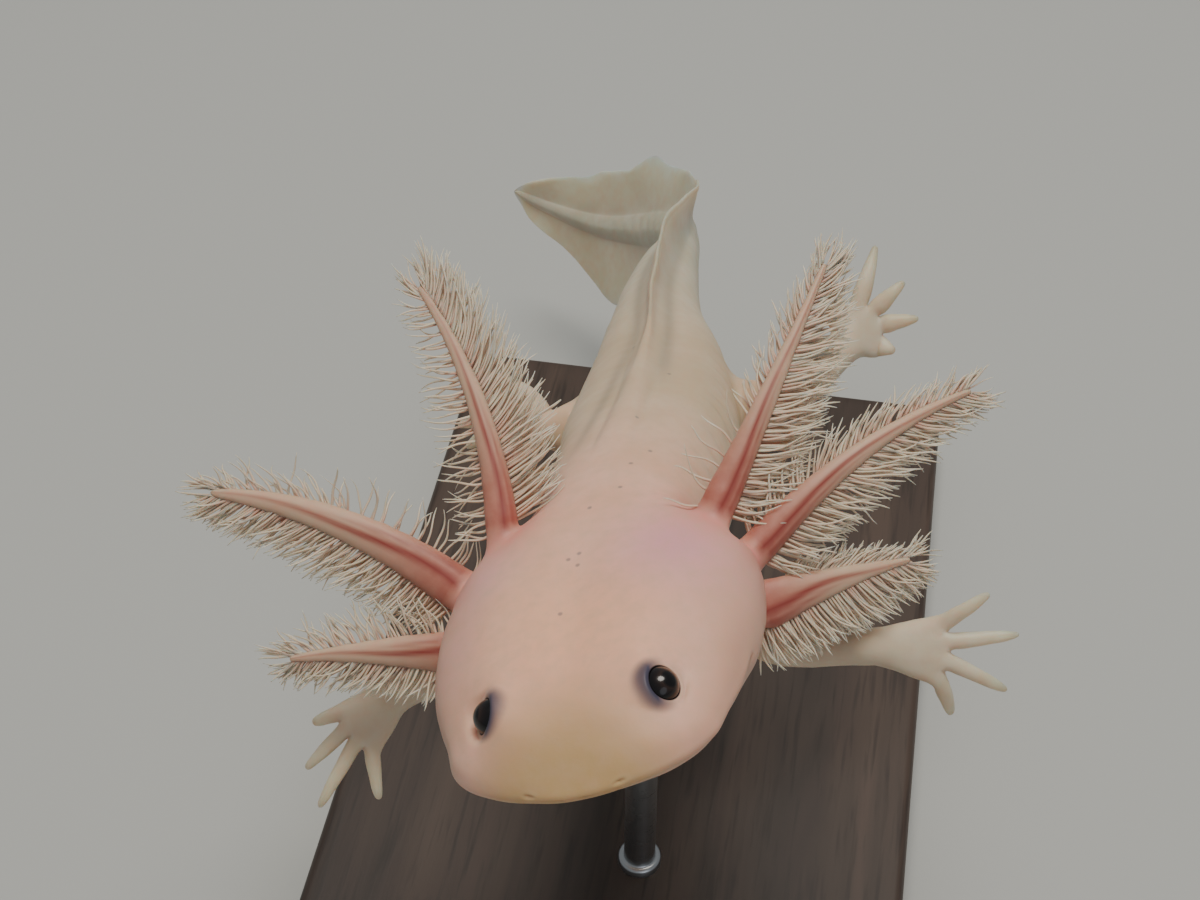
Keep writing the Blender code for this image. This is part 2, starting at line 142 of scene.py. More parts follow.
EYE_AT = (8.1, 7.85, 3.9)       # station, distance from the midline, height
EYE_SHIFT = 0.45                # both eyes sit a little to the left of the midline
EYE_RADIUS = 1.85
EYE_WAY = (0.77, 0.59, 0.22)    # the way it looks: to the side, up and forward
EYE_TILT = (1.3, 0.7)           # rise of the skin beside an eye towards the midline, and its
                                # fall on the outer side
EYE_OPENING = 2.7               # half size of the gap in the grid for an eye
SOCKET_ROUND = 12               # points round a socket, and round a gill stalk
STALK_ROUND = 8

# Name, root, length, heading and lift at the root and at the tip, half width at the root
# and the power by which the stalk tapers.
GILLS = (
    ("gill_right_top", (31.2, -9.9, 5.0), 30.4, (103, 34), (138, 25), 1.85, 1.05),
    ("gill_right_middle", (29.6, -13.2, 0.0), 32.1, (157, 25), (180, -4), 2.5, 0.72),
    ("gill_right_bottom", (27.0, -11.7, -4.0), 22.6, (-173, 7), (-171, -13), 2.95, 1.15),
    ("gill_left_top", (31.2, 11.0, 3.8), 30.4, (69, 34), (75, 24), 2.0, 1.3),
    ("gill_left_middle", (29.6, 13.2, -0.6), 31.5, (53, 32), (39, -2), 2.0, 1.15),
    ("gill_left_bottom", (26.9, 12.7, -4.2), 18.6, (29, 13), (33, -8), 3.0, 1.3),
)
GILL_DEPTH = 1.25
GILL_TIP_HALF = 0.32
GILL_FACE = (-80, 48)           # the way that the flat of every stalk faces

# Half width and half thickness of the seven rings of a front and of a hind leg.
ARM_RINGS = ((2.6, 3.0), (2.3, 2.5), (2.0, 2.1), (1.9, 1.9), (1.75, 1.6), (2.7, 1.25), (3.5, 0.9))
LEG_RINGS = ((3.4, 3.6), (2.9, 3.0), (2.3, 2.4), (2.1, 2.1), (2.0, 1.7), (3.2, 1.3), (4.1, 0.85))
PALM_REACH = 1.9                 # how far the web between the toes runs past the foot's middle
PALM_CURVE = {4: 1.1, 5: 4.0}    # how far its sides fall back, by the number of toes
LIMB_CLEAR = (0.9, 1.8)          # how far a limb's first two rings keep from the flank
# Name, root, the upper, lower and foot bones as length, heading and lift, the way the back
# of the foot faces, the rings, and the tip of each toe from the foot in the same way.
LEGS = (
    ("leg_front_right", (37.0, -5.0, -3.5), ((16.1, -162, -40), (8.7, -149, -10), (4.7, -124, -10)),
     (-80, 48), ARM_RINGS,
     ((5.1, -168, 6), (7.3, -134, -16), (9.6, -109, -25), (7.9, -64, -33))),
    ("leg_front_left", (37.0, 5.0, -3.5), ((12.8, -22, -22), (11.0, -2, 18), (4.8, -5, 11)),
     (-80, 48), ARM_RINGS,
     ((7.6, -37, -58), (9.2, -3, -26), (9.0, 15, 9), (8.3, 32, 44))),
    ("leg_hind_right", (80.0, -5.0, -3.5), ((11.6, -142, 20), (8.2, 117, -17), (3.8, 179, -37)),
     (-100, 55), LEG_RINGS,
     ((5.4, 131, 5), (7.2, 149, -16), (7.7, 170, -35), (7.2, 200, -47), (6.2, 247, -48))),
    ("leg_hind_left", (80.0, 5.0, -3.5), ((14.0, -16, 35), (10.4, 58, 11), (2.8, 52, 34)),
     (-80, 45), LEG_RINGS,
     ((4.9, -31, -19), (6.5, 6, 11), (6.9, 40, 37), (9.6, 87, 38), (6.0, 140, 22))),
)
# Shares of a toe's length where its rings lie, and half widths there by number of toes.
TOE_STEPS = (0.2, 0.42, 0.64, 0.84, 1.0)
TOE_HALF = {4: (0.78, 0.7, 0.61, 0.48, 0.28), 5: (1.12, 0.93, 0.73, 0.53, 0.31)}
TOE_ARCH = 0.3                  # how far a toe bows up, as a share of its length


def follow(table, at, column=1):
    """Smooth curve through a table's rows: cubic pieces whose slopes never overshoot."""
    rows = np.array(table, float)
    x = rows[:, 0]
    y = rows[:, column]
    step = np.diff(x)
    slope = np.diff(y) / step
    first = 2.0 * step[1:] + step[:-1]
    second = step[1:] + 2.0 * step[:-1]
    same = slope[:-1] * slope[1:] > 0.0
    near = np.where(same, slope[:-1], 1.0)
    far = np.where(same, slope[1:], 1.0)
    middle = np.where(same, (first + second) / (first / near + second / far), 0.0)
    tangent = np.concatenate([[slope[0]], middle, [slope[-1]]])
    at = np.clip(np.asarray(at, float), x[0], x[-1])
    i = np.clip(np.searchsorted(x, at) - 1, 0, len(step) - 1)
    t = (at - x[i]) / step[i]
    return ((2 * t**3 - 3 * t**2 + 1) * y[i] + (t**3 - 2 * t**2 + t) * step[i] * tangent[i]
            + (3 * t**2 - 2 * t**3) * y[i + 1] + (t**3 - t**2) * step[i] * tangent[i + 1])


def ease(x):
    """0 below 0, 1 above 1 and 3x^2 - 2x^3 between."""
    x = np.clip(x, 0.0, 1.0)
    return x * x * (3.0 - 2.0 * x)


def bump(x):
    """Bell of height 1 at 0: e to the power of minus x squared."""
    return np.exp(-np.square(x))


def aim(heading, lift):
    """Unit vectors that head round from +X and lift from level, both in degrees."""
    h = np.radians(heading)
    e = np.radians(lift)
    return np.stack([np.cos(h) * np.cos(e), np.sin(h) * np.cos(e), np.sin(e)], -1)


def unit(v):
    """Each vector scaled to length one."""
    return v / np.linalg.norm(v, axis=-1, keepdims=True)


def turns(count, shift=0):
    """Angles of so many points spread evenly round a circle, shifted by a share of a gap."""
    return 2.0 * math.pi * (np.arange(count) + shift) / count


FINE = np.linspace(0.0, BODY_LENGTH, 721)


def lay_spine():
    """Spine run back from the snout by adding up short steps along its heading and pitch,
    with its left and up turned about it by the bank."""
    heading, pitch, bank = (np.radians(follow(SPINE, FINE, k)) for k in (1, 2, 3))
    run = np.stack([np.sin(heading) * np.cos(pitch), np.cos(heading) * np.cos(pitch),
                    np.sin(pitch)], 1)
    step = (run[1:] + run[:-1]) / 2.0 * (FINE[1] - FINE[0])
    place = np.array(SNOUT_AT) + np.concatenate([np.zeros((1, 3)), np.cumsum(step, 0)])
    level = np.stack([np.cos(heading), -np.sin(heading), 0.0 * heading], 1)
    above = np.cross(level, run)
    turn = np.cos(bank)[:, None]
    lean = np.sin(bank)[:, None]
    return place, run, turn * level + lean * above, turn * above - lean * level


SPINE_LINES = lay_spine()


def spine_at(station):
    """Place, run, left and up of the spine at each station."""
    return [np.stack([np.interp(station, FINE, line[:, k]) for k in range(3)], -1)
            for line in SPINE_LINES]


def body_place(station, side, height):
    """Points set off from the spine to the left and up."""
    place, _, left, above = spine_at(station)
    return place + np.asarray(side)[..., None] * left + np.asarray(height)[..., None] * above


def body_reading(points, station):
    """Station, side and height of points near the body, by sliding along the spine from a
    first guess until the point lies square to it."""
    for _ in range(3):
        place, run, left, above = spine_at(station)
        station = np.clip(station + np.sum((points - place) * run, -1), 0.0, BODY_LENGTH)
    place, run, left, above = spine_at(station)
    return station, np.sum((points - place) * left, -1), np.sum((points - place) * above, -1)


def closing(station):
    """1 along the body, falling to 0 at the snout and at the tail tip as a superellipse."""
    x = np.clip(station / SNOUT_ROUND, 0.0, 1.0)
    y = np.clip((BODY_LENGTH + 0.05 - station) / TAIL_ROUND, 0.0, 1.0)
    return ((1.0 - (1.0 - x) ** SECTION_POWER) ** (1.0 / SECTION_POWER)
            * (1.0 - (1.0 - y) ** 2) ** 0.5)


def sizes(station):
    """Half width, rise of the back and drop of the belly at each station."""
    close = closing(station)
    return (follow(HALF_WIDTH, station) * close, follow(BACK_RISE, station) * close ** 0.9,
            follow(BELLY_DROP, station) * close ** 0.9)


def skin_place(station, angle, line):
    """Body surface: at each station a superellipse whose side goes as sine and height as
    cosine of the angle from the top, each to the power 2 over the section power. Lines near
    the top and bottom are drawn in and lifted into the fins."""
    wide, rise, drop = sizes(station)
    c = np.cos(angle)
    s = np.sin(angle)
    flattened = ease((station - FLATTENS[0]) / (FLATTENS[1] - FLATTENS[0]))
    power = SECTION_POWER - (SECTION_POWER - TAIL_POWER) * flattened
    side = wide * np.sign(s) * np.abs(s) ** (2.0 / power)
    height = np.where(c >= 0, rise, drop) * np.sign(c) * np.abs(c) ** (2.0 / power)
    share = np.zeros_like(side)
    for table, crest, way in ((UPPER_FIN, 0, 1.0), (LOWER_FIN, AROUND // 2, -1.0)):
        fin = follow(table, station) * closing(station)
        off = np.abs((line - crest + AROUND // 2) % AROUND - AROUND // 2)
        for k, (half, lift, hold) in enumerate(FIN_LINES):
            here = off == k
            thin = ease(fin / FIN_FULL) * hold
            least = np.minimum(FIN_LEAST * closing(station), half)
            drawn = np.sign(side) * np.clip(np.abs(side), least, half)
            side = np.where(here, side * (1.0 - thin) + drawn * thin, side)
            height = np.where(here, height + way * fin * lift, height)
            share = np.where(here, way * lift * ease(fin / FIN_FULL), share)
    return body_place(station, side, height), share


def leaving(root, way):
    """Station, angle and distance at which a straight line from a point inside the body
    comes out through its surface."""
    far = np.linspace(0.0, 18.0, 721)
    points = body_place(*root) + far[:, None] * way
    station, side, height = body_reading(points, np.full(len(far), float(root[0])))
    wide, rise, drop = sizes(station)
    tall = np.where(height >= 0, rise, drop)
    out = (np.abs(side / wide) ** SECTION_POWER + np.abs(height / tall) ** SECTION_POWER) >= 1.0
    i = int(np.argmax(out))
    s = np.sign(side[i]) * np.abs(side[i] / wide[i]) ** (SECTION_POWER / 2.0)
    c = np.sign(height[i]) * np.abs(height[i] / tall[i]) ** (SECTION_POWER / 2.0)
    return station[i], math.atan2(s, c) % (2.0 * math.pi), far[i]


# The grid of the body: rings at stations whose gaps follow RING_GAP, and lines at angles
# crowded together along the mouth and on the crests of the fins.
count = np.concatenate([[0.0], np.cumsum(np.diff(FINE) / follow(RING_GAP, (FINE[1:] + FINE[:-1]) / 2))])
rings = int(round(count[-1]))
ring_station = np.interp(np.linspace(0.0, count[-1], rings + 1), count, FINE)
ring_station[0] = 0.02
line = np.arange(AROUND)
turn = turns(AROUND)
station = np.repeat(ring_station[:, None], AROUND, 1)
angle = (turn + follow(SIDE_CROWD, station) * np.sin(2 * turn)
         + follow(BROW_CROWD, station) * np.sin(4 * turn))

# Openings in the grid from which the eyes, gills and legs grow: rings and lines spanned,
# station, angle, half sizes along and around, and how many degrees further round the lines
# are taken from, which keeps neighbouring openings apart.
OPENING_NUDGE = {"gill_left_top": -8.0, "gill_left_middle": 4.0}
openings = {}
eyes = {}
for side, name in ((-1, "eye_right"), (1, "eye_left")):
    _, run, left, above = spine_at(EYE_AT[0])
    root = (EYE_AT[0], side * EYE_AT[1] + EYE_SHIFT, EYE_AT[2])
    way = unit(side * EYE_WAY[0] * left + EYE_WAY[1] * above - EYE_WAY[2] * run)
    across = unit(np.cross(run, way))
    eyes[name] = (body_place(*root), way, across, np.cross(way, across))
    openings[name] = (3, 3, leaving(root, way), EYE_OPENING, EYE_OPENING, 0.0)
for name, root, length, start, end, half, power in GILLS:
    nudge = OPENING_NUDGE.get(name, 0.0)
    openings[name] = (2, 2, leaving(root, aim(*start)), max(1.3, 0.65 * half), 1.5, nudge)
for name, root, bones, face, sections, toes in LEGS:
    size = sections[0]
    spans = (2, 3) if len(toes) == 4 else (3, 3)
    openings[name] = (*spans, leaving(root, aim(*bones[0][1:])), size[0] + 0.9, size[1] + 0.3, 0.0)

# The grid slides so that each opening's corners land where they should; between them the
# slide of a point is the mean of its four neighbours' slides, a little weaker.
blocks = {}
slide = np.zeros((2, *station.shape))
held = np.zeros(station.shape, bool)
for name, (along, across, (at, round_at, far), half_along, half_across, nudge) in openings.items():
    middle_ring = (station[:-along, 0] + station[along:, 0]) / 2.0
    r = int(np.argmin(np.abs(middle_ring - at)))
    lines = (angle[r, :-across] + angle[r, across:]) / 2.0
    k = int(np.argmin(np.abs(lines - round_at - math.radians(nudge))))
    blocks[name] = (r, k, along, across)
    wide, rise, drop = sizes(at)
    tall = rise if math.cos(round_at) >= 0 else drop
    metric = math.hypot(wide * math.cos(round_at), tall * math.sin(round_at))
    i = np.linspace(-1.0, 1.0, along + 1)[:, None]
    j = np.linspace(-1.0, 1.0, across + 1)[None, :]
    rounding = 1.0 - 0.18 * np.abs(i * j)
    here = np.s_[r:r + along + 1, k:k + across + 1]
    held[here] = True
    slide[0][here] = at + half_along * i * rounding - station[here]
    slide[1][here] = round_at + half_across * j * rounding / metric - angle[here]
wanted = slide.copy()
for _ in range(300):
    near = np.pad(slide, ((0, 0), (1, 1), (0, 0)), mode="edge")
    mean = (near[:, 2:] + near[:, :-2] + np.roll(slide, 1, 2) + np.roll(slide, -1, 2)) / 4.0
    slide = np.where(held, wanted, 0.96 * mean)
    slide[1][:, [0, AROUND // 2]] = 0.0
station = station + slide[0]
angle = angle + slide[1]

body_points, fin_share = skin_place(station, angle, line[None, :])
# Round each eye the skin tilts to face the way the eye looks.
for side, (centre, way, across, front) in zip((-1, 1), eyes.values()):
    off = body_points - centre
    near = bump(np.maximum(np.linalg.norm(off, axis=-1) - 2.4, 0.0) / 3.4)
    inner = np.tanh(-side * (off @ across) / 2.5)
    tilt = near * inner * np.where(inner > 0, *EYE_TILT)
    body_points = body_points + tilt[..., None] * spine_at(EYE_AT[0])[3]

# Everything joins one list of points in millimetres, each with its marks, and one list of
# faces, each corner with its place on the unwrap.
MARKS = ("along", "body", "stalk", "limb", "reach", "face", "edge", "fin")
cage_points = [body_points.reshape(-1, 3)]
cage_marks = [np.stack([station.ravel(), *[np.full(station.size, v) for v in (1, 0, 0, 0, 0, 0)],
                        fin_share.ravel()], 1)]
cage_faces = []
cage_charts = []


def add_points(points, **marks):
    """Stores a grid of points and their marks; returns the index of the first."""
    first = sum(len(p) for p in cage_points)
    flat = np.asarray(points, float).reshape(-1, 3)
    shape = np.asarray(points).shape[:-1]
    cage_points.append(flat)
    cage_marks.append(np.stack([np.broadcast_to(marks.get(m, 0.0), shape).ravel() for m in MARKS], 1))
    return first


def add_faces(corners, charts):
    """Stores faces as arrays of corner indices with their places on the unwrap."""
    cage_faces.extend(np.asarray(corners).tolist())
    cage_charts.extend(np.asarray(charts, float).tolist())


def quads(rows, columns, wrap, box, keep=None):
    """Faces of a grid stored row after row, with the unwrap spread evenly over a box given
    as low u, low v, high u and high v; wrap joins the last column to the first."""
    r, k = np.meshgrid(np.arange(rows - 1), np.arange(columns if wrap else columns - 1), indexing="ij")
    if keep is not None:
        r, k = r[keep], k[keep]
    n = (k + 1) % columns
    row = r * columns
    corners = np.stack([row + k, row + n, row + columns + n, row + columns + k], -1)
    spans = columns if wrap else columns - 1
    u = box[0] + (box[2] - box[0]) * np.stack([r, r, r + 1, r + 1], -1) / (rows - 1)
    v = box[1] + (box[3] - box[1]) * np.stack([k, k + 1, k + 1, k], -1) / spans
    return corners.reshape(-1, 4), np.stack([u, v], -1).reshape(-1, 4, 2)


def cap(corners, spot):
    """Closes a ring with one face, laid on the unwrap as a small disc."""
    a = turns(len(corners))
    add_faces([corners], [np.stack([spot[0] + 0.004 * np.cos(a), spot[1] + 0.004 * np.sin(a)], -1)])


def tube(first, rows, columns, box, spot=None):
    """Faces of a tube whose rings start at a stored point, with its end closed if a spot on
    the unwrap is given for that."""
    corners, charts = quads(rows, columns, True, box)
    add_faces(corners + first, charts)
    if spot:
        cap(first + (rows - 1) * columns + np.arange(columns), spot)


def strip(loop, own, box, width):
    """Faces from a loop of points to a ring of as many, with the unwrap beside the ring's."""
    corners = np.stack([loop, np.roll(loop, -1), np.roll(own, -1), own], -1)
    k = np.arange(len(loop))
    v = box[1] + (box[3] - box[1]) * np.stack([k, k + 1, k + 1, k], -1) / len(loop)
    u = np.broadcast_to(box[0] + np.array([-width, -width, 0.0, 0.0]), v.shape)
    add_faces(corners, np.stack([u, v], -1))


def join(loop, first, box):
    """Strip of faces from a loop round an opening to the first ring of what grows there,
    starting from the corner and going the way round that keep the strip shortest."""
    points = np.concatenate(cage_points)
    ring = points[first:first + len(loop)]
    choices = [np.roll(loop[::way], -k) for way in (1, -1) for k in range(len(loop))]
    lengths = [np.linalg.norm(points[c] - ring, axis=1).sum() for c in choices]
    loop = choices[int(np.argmin(lengths))]
    strip(loop, first + np.arange(len(loop)), box, 0.008)


rows = len(ring_station)
kept = np.ones((rows - 1, AROUND), bool)
loops = {}
for name, (r, k, along, across) in blocks.items():
    kept[r:r + along, k:k + across] = False
    down = [(r + i, k) for i in range(along)]
    over = [(r + along, k + i) for i in range(across)]
    up = [(r + along - i, k + across) for i in range(along)]
    home = [(r, k + across - i) for i in range(across)]
    loops[name] = np.array([a * AROUND + b % AROUND for a, b in down + over + up + home])
add_faces(*quads(rows, AROUND, True, (0.01, 0.01, 0.99, 0.49), kept))
cap(np.arange(AROUND), (0.02, 0.9))
cap((rows - 1) * AROUND + np.arange(AROUND), (0.05, 0.9))


def round_out(count):
    """How much a ring of so many points is drawn out, so that smoothing, which pulls each
    point two thirds plus a third of the cosine of its spacing, leaves the wanted size."""
    return 1.0 / (2.0 / 3.0 + math.cos(2.0 * math.pi / count) / 3.0)


# Eye sockets: the skin climbs over each eyeball to a soft round rim, turns in under it and
# closes behind. Rows are degrees from the way it looks and distance from its centre.
SOCKET_ROWS = ((67.5, 2.42), (64.0, 2.19), (62.2, 2.05), (61.6, 1.95), (63.0, 1.85), (66.0, 1.6),
               (68.0, 0.9))
for index, (name, (centre, way, across, front)) in enumerate(eyes.items()):
    polar = np.radians([row[0] for row in SOCKET_ROWS])[:, None, None]
    far = np.array([row[1] for row in SOCKET_ROWS])[:, None, None]
    a = turns(SOCKET_ROUND, 0.5)[None, :, None]
    ring = centre + far * (np.cos(polar) * way + np.sin(polar) * round_out(SOCKET_ROUND)
                           * (np.cos(a) * across + np.sin(a) * front))
    first = add_points(ring, along=EYE_AT[0])
    box = (0.03 + 0.12 * index, 0.8, 0.12 + 0.12 * index, 0.86)
    join(loops[name], first, box)
    tube(first, len(SOCKET_ROWS), SOCKET_ROUND, box, (0.08 + 0.03 * index, 0.9))


def stalk_line(gill, spots):
    """Place, run, across and front of a gill's stalk at shares of its length: short steps
    added up along a heading and lift that turn evenly from root to tip."""
    root, length, start, end = gill[1:5]
    t = np.linspace(0.0, 1.0, 121)
    run = aim(start[0] + (end[0] - start[0]) * t, start[1] + (end[1] - start[1]) * t)
    step = (run[1:] + run[:-1]) / 2.0 * length / (len(t) - 1)
    place = body_place(*root) + np.concatenate([np.zeros((1, 3)), np.cumsum(step, 0)])
    place, run = (np.stack([np.interp(spots, t, line[:, k]) for k in range(3)], -1)
                  for line in (place, run))
    run = unit(run)
    across = unit(np.cross(run, aim(*GILL_FACE)))
    return place, run, across, np.cross(across, run)


def stalk_sizes(gill, t):
    """Half width and half thickness of a gill's stalk, which is broad at the root and narrows
    as a power of what is left of its length."""
    half, power = gill[5:]
    left = (1.0 - t) ** power
    return (GILL_TIP_HALF + (half - GILL_TIP_HALF) * left,
            GILL_TIP_HALF + (GILL_DEPTH - GILL_TIP_HALF) * left)


STALK_ROWS = 15
for index, gill in enumerate(GILLS):
    name, root, length = gill[:3]
    out_at = min(0.4, (openings[name][2][2] + 1.8) / length)
    t = out_at + (1.0 - out_at) * np.linspace(0.0, 1.0, STALK_ROWS)
    place, run, across, front = (x[:, None] for x in stalk_line(gill, t))
    wide, deep = (x[:, None, None] * round_out(STALK_ROUND) for x in stalk_sizes(gill, t))
    a = turns(STALK_ROUND)[None, :, None]
    ring = place + wide * np.cos(a) * across + deep * np.sin(a) * front
    first = add_points(ring, along=root[0], stalk=1.0, reach=t[:, None],
                       face=np.sin(a[..., 0]), edge=np.cos(a[..., 0]))
    box = (0.02 + index * 0.16, 0.52, 0.16 + index * 0.16, 0.6)
    join(loops[name], first, box)
    tube(first, STALK_ROWS, STALK_ROUND, box, (0.14 + 0.03 * index, 0.9))

toe_count = 0
for index, (name, root, bones, back_way, sections, toes) in enumerate(LEGS):
    joints = [body_place(*root)]
    for length, heading, lift in bones:
        joints.append(joints[-1] + length * aim(heading, lift))
    shoulder, elbow, wrist, foot = joints
    ahead = unit(foot - wrist)
    out_at = min(0.8, (openings[name][2][2] + 1.1) / bones[0][0])
    spots = [shoulder + out_at * (elbow - shoulder),
             shoulder + (0.45 + 0.55 * out_at) * (elbow - shoulder), elbow, elbow * 0.5 + wrist * 0.5,
             wrist, wrist * 0.4 + foot * 0.6, foot + ahead * PALM_REACH]
    spots = np.array(spots)
    runs = unit(np.concatenate([spots[1:], spots[-1:]]) - np.concatenate([shoulder[None], spots[:-1]]))
    half_count = len(toes) + 1
    ring_count = 2 * half_count
    across = unit(np.cross(runs, aim(*back_way)))
    front = np.cross(across, runs)
    flat = np.clip((np.arange(7) - 3) / 3.0, 0.0, 1.0)[:, None]
    a = (math.pi * (np.arange(half_count) + 0.5) / half_count)[None, :]
    even = (1.0 - 2.0 * np.arange(half_count) / (half_count - 1))[None, :]
    x = (1.0 - flat) * np.cos(a) * round_out(ring_count) + flat * even
    z = (1.0 - flat) * np.sin(a) * round_out(ring_count) + flat * (1.2 - 0.4 * even * even)
    x = np.concatenate([x, x[:, ::-1]], 1)
    z = np.concatenate([z, -z[:, ::-1]], 1)
    wide = np.array(sections)[:, 0][:, None]
    tall = np.array(sections)[:, 1][:, None]
    ring = (spots[:, None] + (x * wide)[..., None] * across[:, None]
            + (z * tall)[..., None] * front[:, None])
    # The first ring stays clear of the flank, so that no fold forms under the limb.
    rim = np.concatenate(cage_points)[loops[name]]
    out = unit(np.cross(rim - rim.mean(0), np.roll(rim, -1, 0) - rim.mean(0)).sum(0))
    out = out * np.sign(out @ (elbow - shoulder))
    for i, clear in enumerate(LIMB_CLEAR):
        short = clear - (ring[i] - rim.mean(0)) @ out
        ring[i] += np.maximum(short, 0.0)[:, None] * out
    curve = np.array([0, 0, 0, 0, 0, 0.45, 1.0])[:, None] * np.concatenate([even, even[:, ::-1]], 1) ** 2
    ring = ring - PALM_CURVE[len(toes)] * curve[..., None] * ahead
    reach = np.array([0.1, 0.25, 0.4, 0.5, 0.6, 0.68, 0.75])[:, None]
    first = add_points(ring, along=root[0], limb=1.0, reach=reach, face=z / (np.abs(z).max() + 0.01),
                       edge=x / np.abs(x).max())
    box = (0.02 + index * 0.24, 0.63, 0.2 + index * 0.24, 0.72)
    join(loops[name], first, box)
    tube(first, 7, ring_count, box)
    last = first + 6 * ring_count
    points = np.concatenate(cage_points)
    for i, (long, heading, lift) in enumerate(toes):
        loop = np.array([last + i, last + i + 1, last + ring_count - 2 - i, last + ring_count - 1 - i])
        start = points[loop].mean(0)
        tip = foot + long * aim(heading, lift)
        way = unit(tip - start)
        toe_across = unit(np.cross(way, aim(*back_way)))
        toe_front = np.cross(toe_across, way)
        t = np.array(TOE_STEPS)[:, None]
        arch = TOE_ARCH * np.linalg.norm(tip - start)
        middle = start + t * (tip + 0.3 * way - start) + arch * t * (1 - t) * toe_front
        half = (np.array(TOE_HALF[len(toes)]) * round_out(4))[:, None, None]
        square = np.array(((1, 1), (-1, 1), (-1, -1), (1, -1)), float) / math.sqrt(2.0) * 1.1
        ring = middle[:, None] + half * (square[:, :1] * toe_across + 0.85 * square[:, 1:] * toe_front)
        toe = add_points(ring, along=root[0], limb=1.0, reach=0.75 + 0.25 * t,
                         face=square[None, :, 1], edge=square[None, :, 0])
        box = (0.01 + toe_count * 0.054, 0.74, 0.055 + toe_count * 0.054, 0.77)
        strip(loop, toe + np.arange(4), box, 0.006)
        tube(toe, len(TOE_STEPS), 4, box, (0.02 + 0.03 * toe_count, 0.95))
        toe_count += 1


def make_mesh(name, points, faces, charts=None):
    """Mesh from points in millimetres and a list of faces, smoothly shaded, with the unwrap
    stored corner by corner and every face turned outwards."""
    mesh = bpy.data.meshes.new(name)
    mesh.from_pydata(np.asarray(points) * MM, [], faces)
    if charts is not None:
        layer = mesh.uv_layers.new(name="OFBake")
        flat = np.concatenate([np.asarray(c) for c in charts]) if isinstance(charts, list) else charts
        layer.uv.foreach_set("vector", flat.astype(np.float32).ravel())
    mesh.shade_smooth()
    work = bmesh.new()
    work.from_mesh(mesh)
    bmesh.ops.recalc_face_normals(work, faces=work.faces)
    work.to_mesh(mesh)
    work.free()
    return mesh


def set_mark(mesh, name, values):
    """Stores one number for each point of the mesh."""
    mesh.attributes.new(name, "FLOAT", "POINT").data.foreach_set("value", np.asarray(values, np.float32))


def read_mark(mesh, name):
    """One stored number for each point."""
    found = np.empty(len(mesh.vertices), np.float32)
    mesh.attributes[name].data.foreach_get("value", found)
    return found.astype(float)


def place_piece(name, mesh, slot, material, *nodes):
    """Object at the origin that rides on the body, takes a finish and stands for nodes; the slot is not
    used.
    """
    mesh.materials.clear()
    mesh.materials.append(material)
    piece = bpy.data.objects.new(name, mesh)
    bpy.context.collection.objects.link(piece)
    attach(piece, "root")
    if nodes:
        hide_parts(*nodes)


points = np.concatenate(cage_points)
marks = np.concatenate(cage_marks)
used = np.zeros(len(points), bool)
used[[i for face in cage_faces for i in face]] = True
renumber = np.cumsum(used) - 1
faces = [[int(renumber[i]) for i in face] for face in cage_faces]
cage = make_mesh("skin_cage", points[used], faces, cage_charts)
for column, name in enumerate(MARKS):
    set_mark(cage, name, marks[used, column])
smoothed = bpy.data.objects.new("skin_cage", cage)
bpy.context.collection.objects.link(smoothed)
step = smoothed.modifiers.new("smooth", "SUBSURF")
step.levels = 2
step.render_levels = 2
bpy.context.view_layer.update()
skin_mesh = bpy.data.meshes.new_from_object(smoothed.evaluated_get(bpy.context.evaluated_depsgraph_get()))
bpy.data.objects.remove(smoothed)
skin_mesh.name = "skin"
total = len(skin_mesh.vertices)
found = np.empty(total * 3, np.float32)
skin_mesh.vertices.foreach_get("co", found)
points = found.reshape(-1, 3).astype(float) / MM
skin_mesh.vertex_normals.foreach_get("vector", found)
normals = found.reshape(-1, 3).astype(float)
mark = {name: read_mark(skin_mesh, name) for name in MARKS}

# Relief of the skin, as a lift along its own normals in millimetres. A line or lump is a
# bell of its distance over its width, and it fades where an ease falls to nothing.
along, side, height = body_reading(points, mark["along"])
wide, rise, drop = sizes(along)
body = mark["body"]
top = ease(height / 2.0) * body
flank = body * ease(np.abs(side) / wide * 2.2 - 0.8)


def waves(points, size, seed):
    """Soft lumps about size across: the mean of sines along nine mixed directions."""
    mix = np.random.default_rng(seed)
    ways = unit(mix.normal(size=(9, 3))) * 2.0 * math.pi / size * mix.uniform(0.7, 1.4, (9, 1))
    return np.sin(points @ ways.T + mix.uniform(0.0, 6.28, 9)).mean(1)


def nearest(x):
    """How far each number is from the nearest whole one."""
    return x - np.round(x)


# Mouth: a fine line round the snout, a little below its middle, with the upper lip
# standing over the lower jaw and the corner turned slightly up.
MOUTH_LINE = ((0, -0.7), (5, -0.9), (11, -0.8), (15, -0.1), (18, 0.4))
MOUTH_END = 16.0
MOUTH_DEPTH = 0.5
LIP_SWELL = 0.16
JAW_SET_BACK = 0.3
off_mouth = height - follow(MOUTH_LINE, along)
gape = body * ease((MOUTH_END - along) / 3.0)
lift = gape * (-MOUTH_DEPTH * bump(off_mouth / 0.2) + LIP_SWELL * bump((off_mouth - 0.75) / 0.6)
               - JAW_SET_BACK * ease(-off_mouth / 0.35) * ease((off_mouth + 3.4) / 2.6))
# Nostrils: two small slits on the front of the snout.
NOSTRIL_AT = (4.2, 0.4)         # from the midline, and height
NOSTRIL_SIZE = (1.1, 0.6)
for way in (-1, 1):
    far = np.hypot((side - way * NOSTRIL_AT[0]) / NOSTRIL_SIZE[0],
                   (height - NOSTRIL_AT[1]) / NOSTRIL_SIZE[1])
    lift = lift + body * (along < 5.0) * (-0.2 * bump(far / 0.28) + 0.03 * bump((far - 0.55) / 0.3))
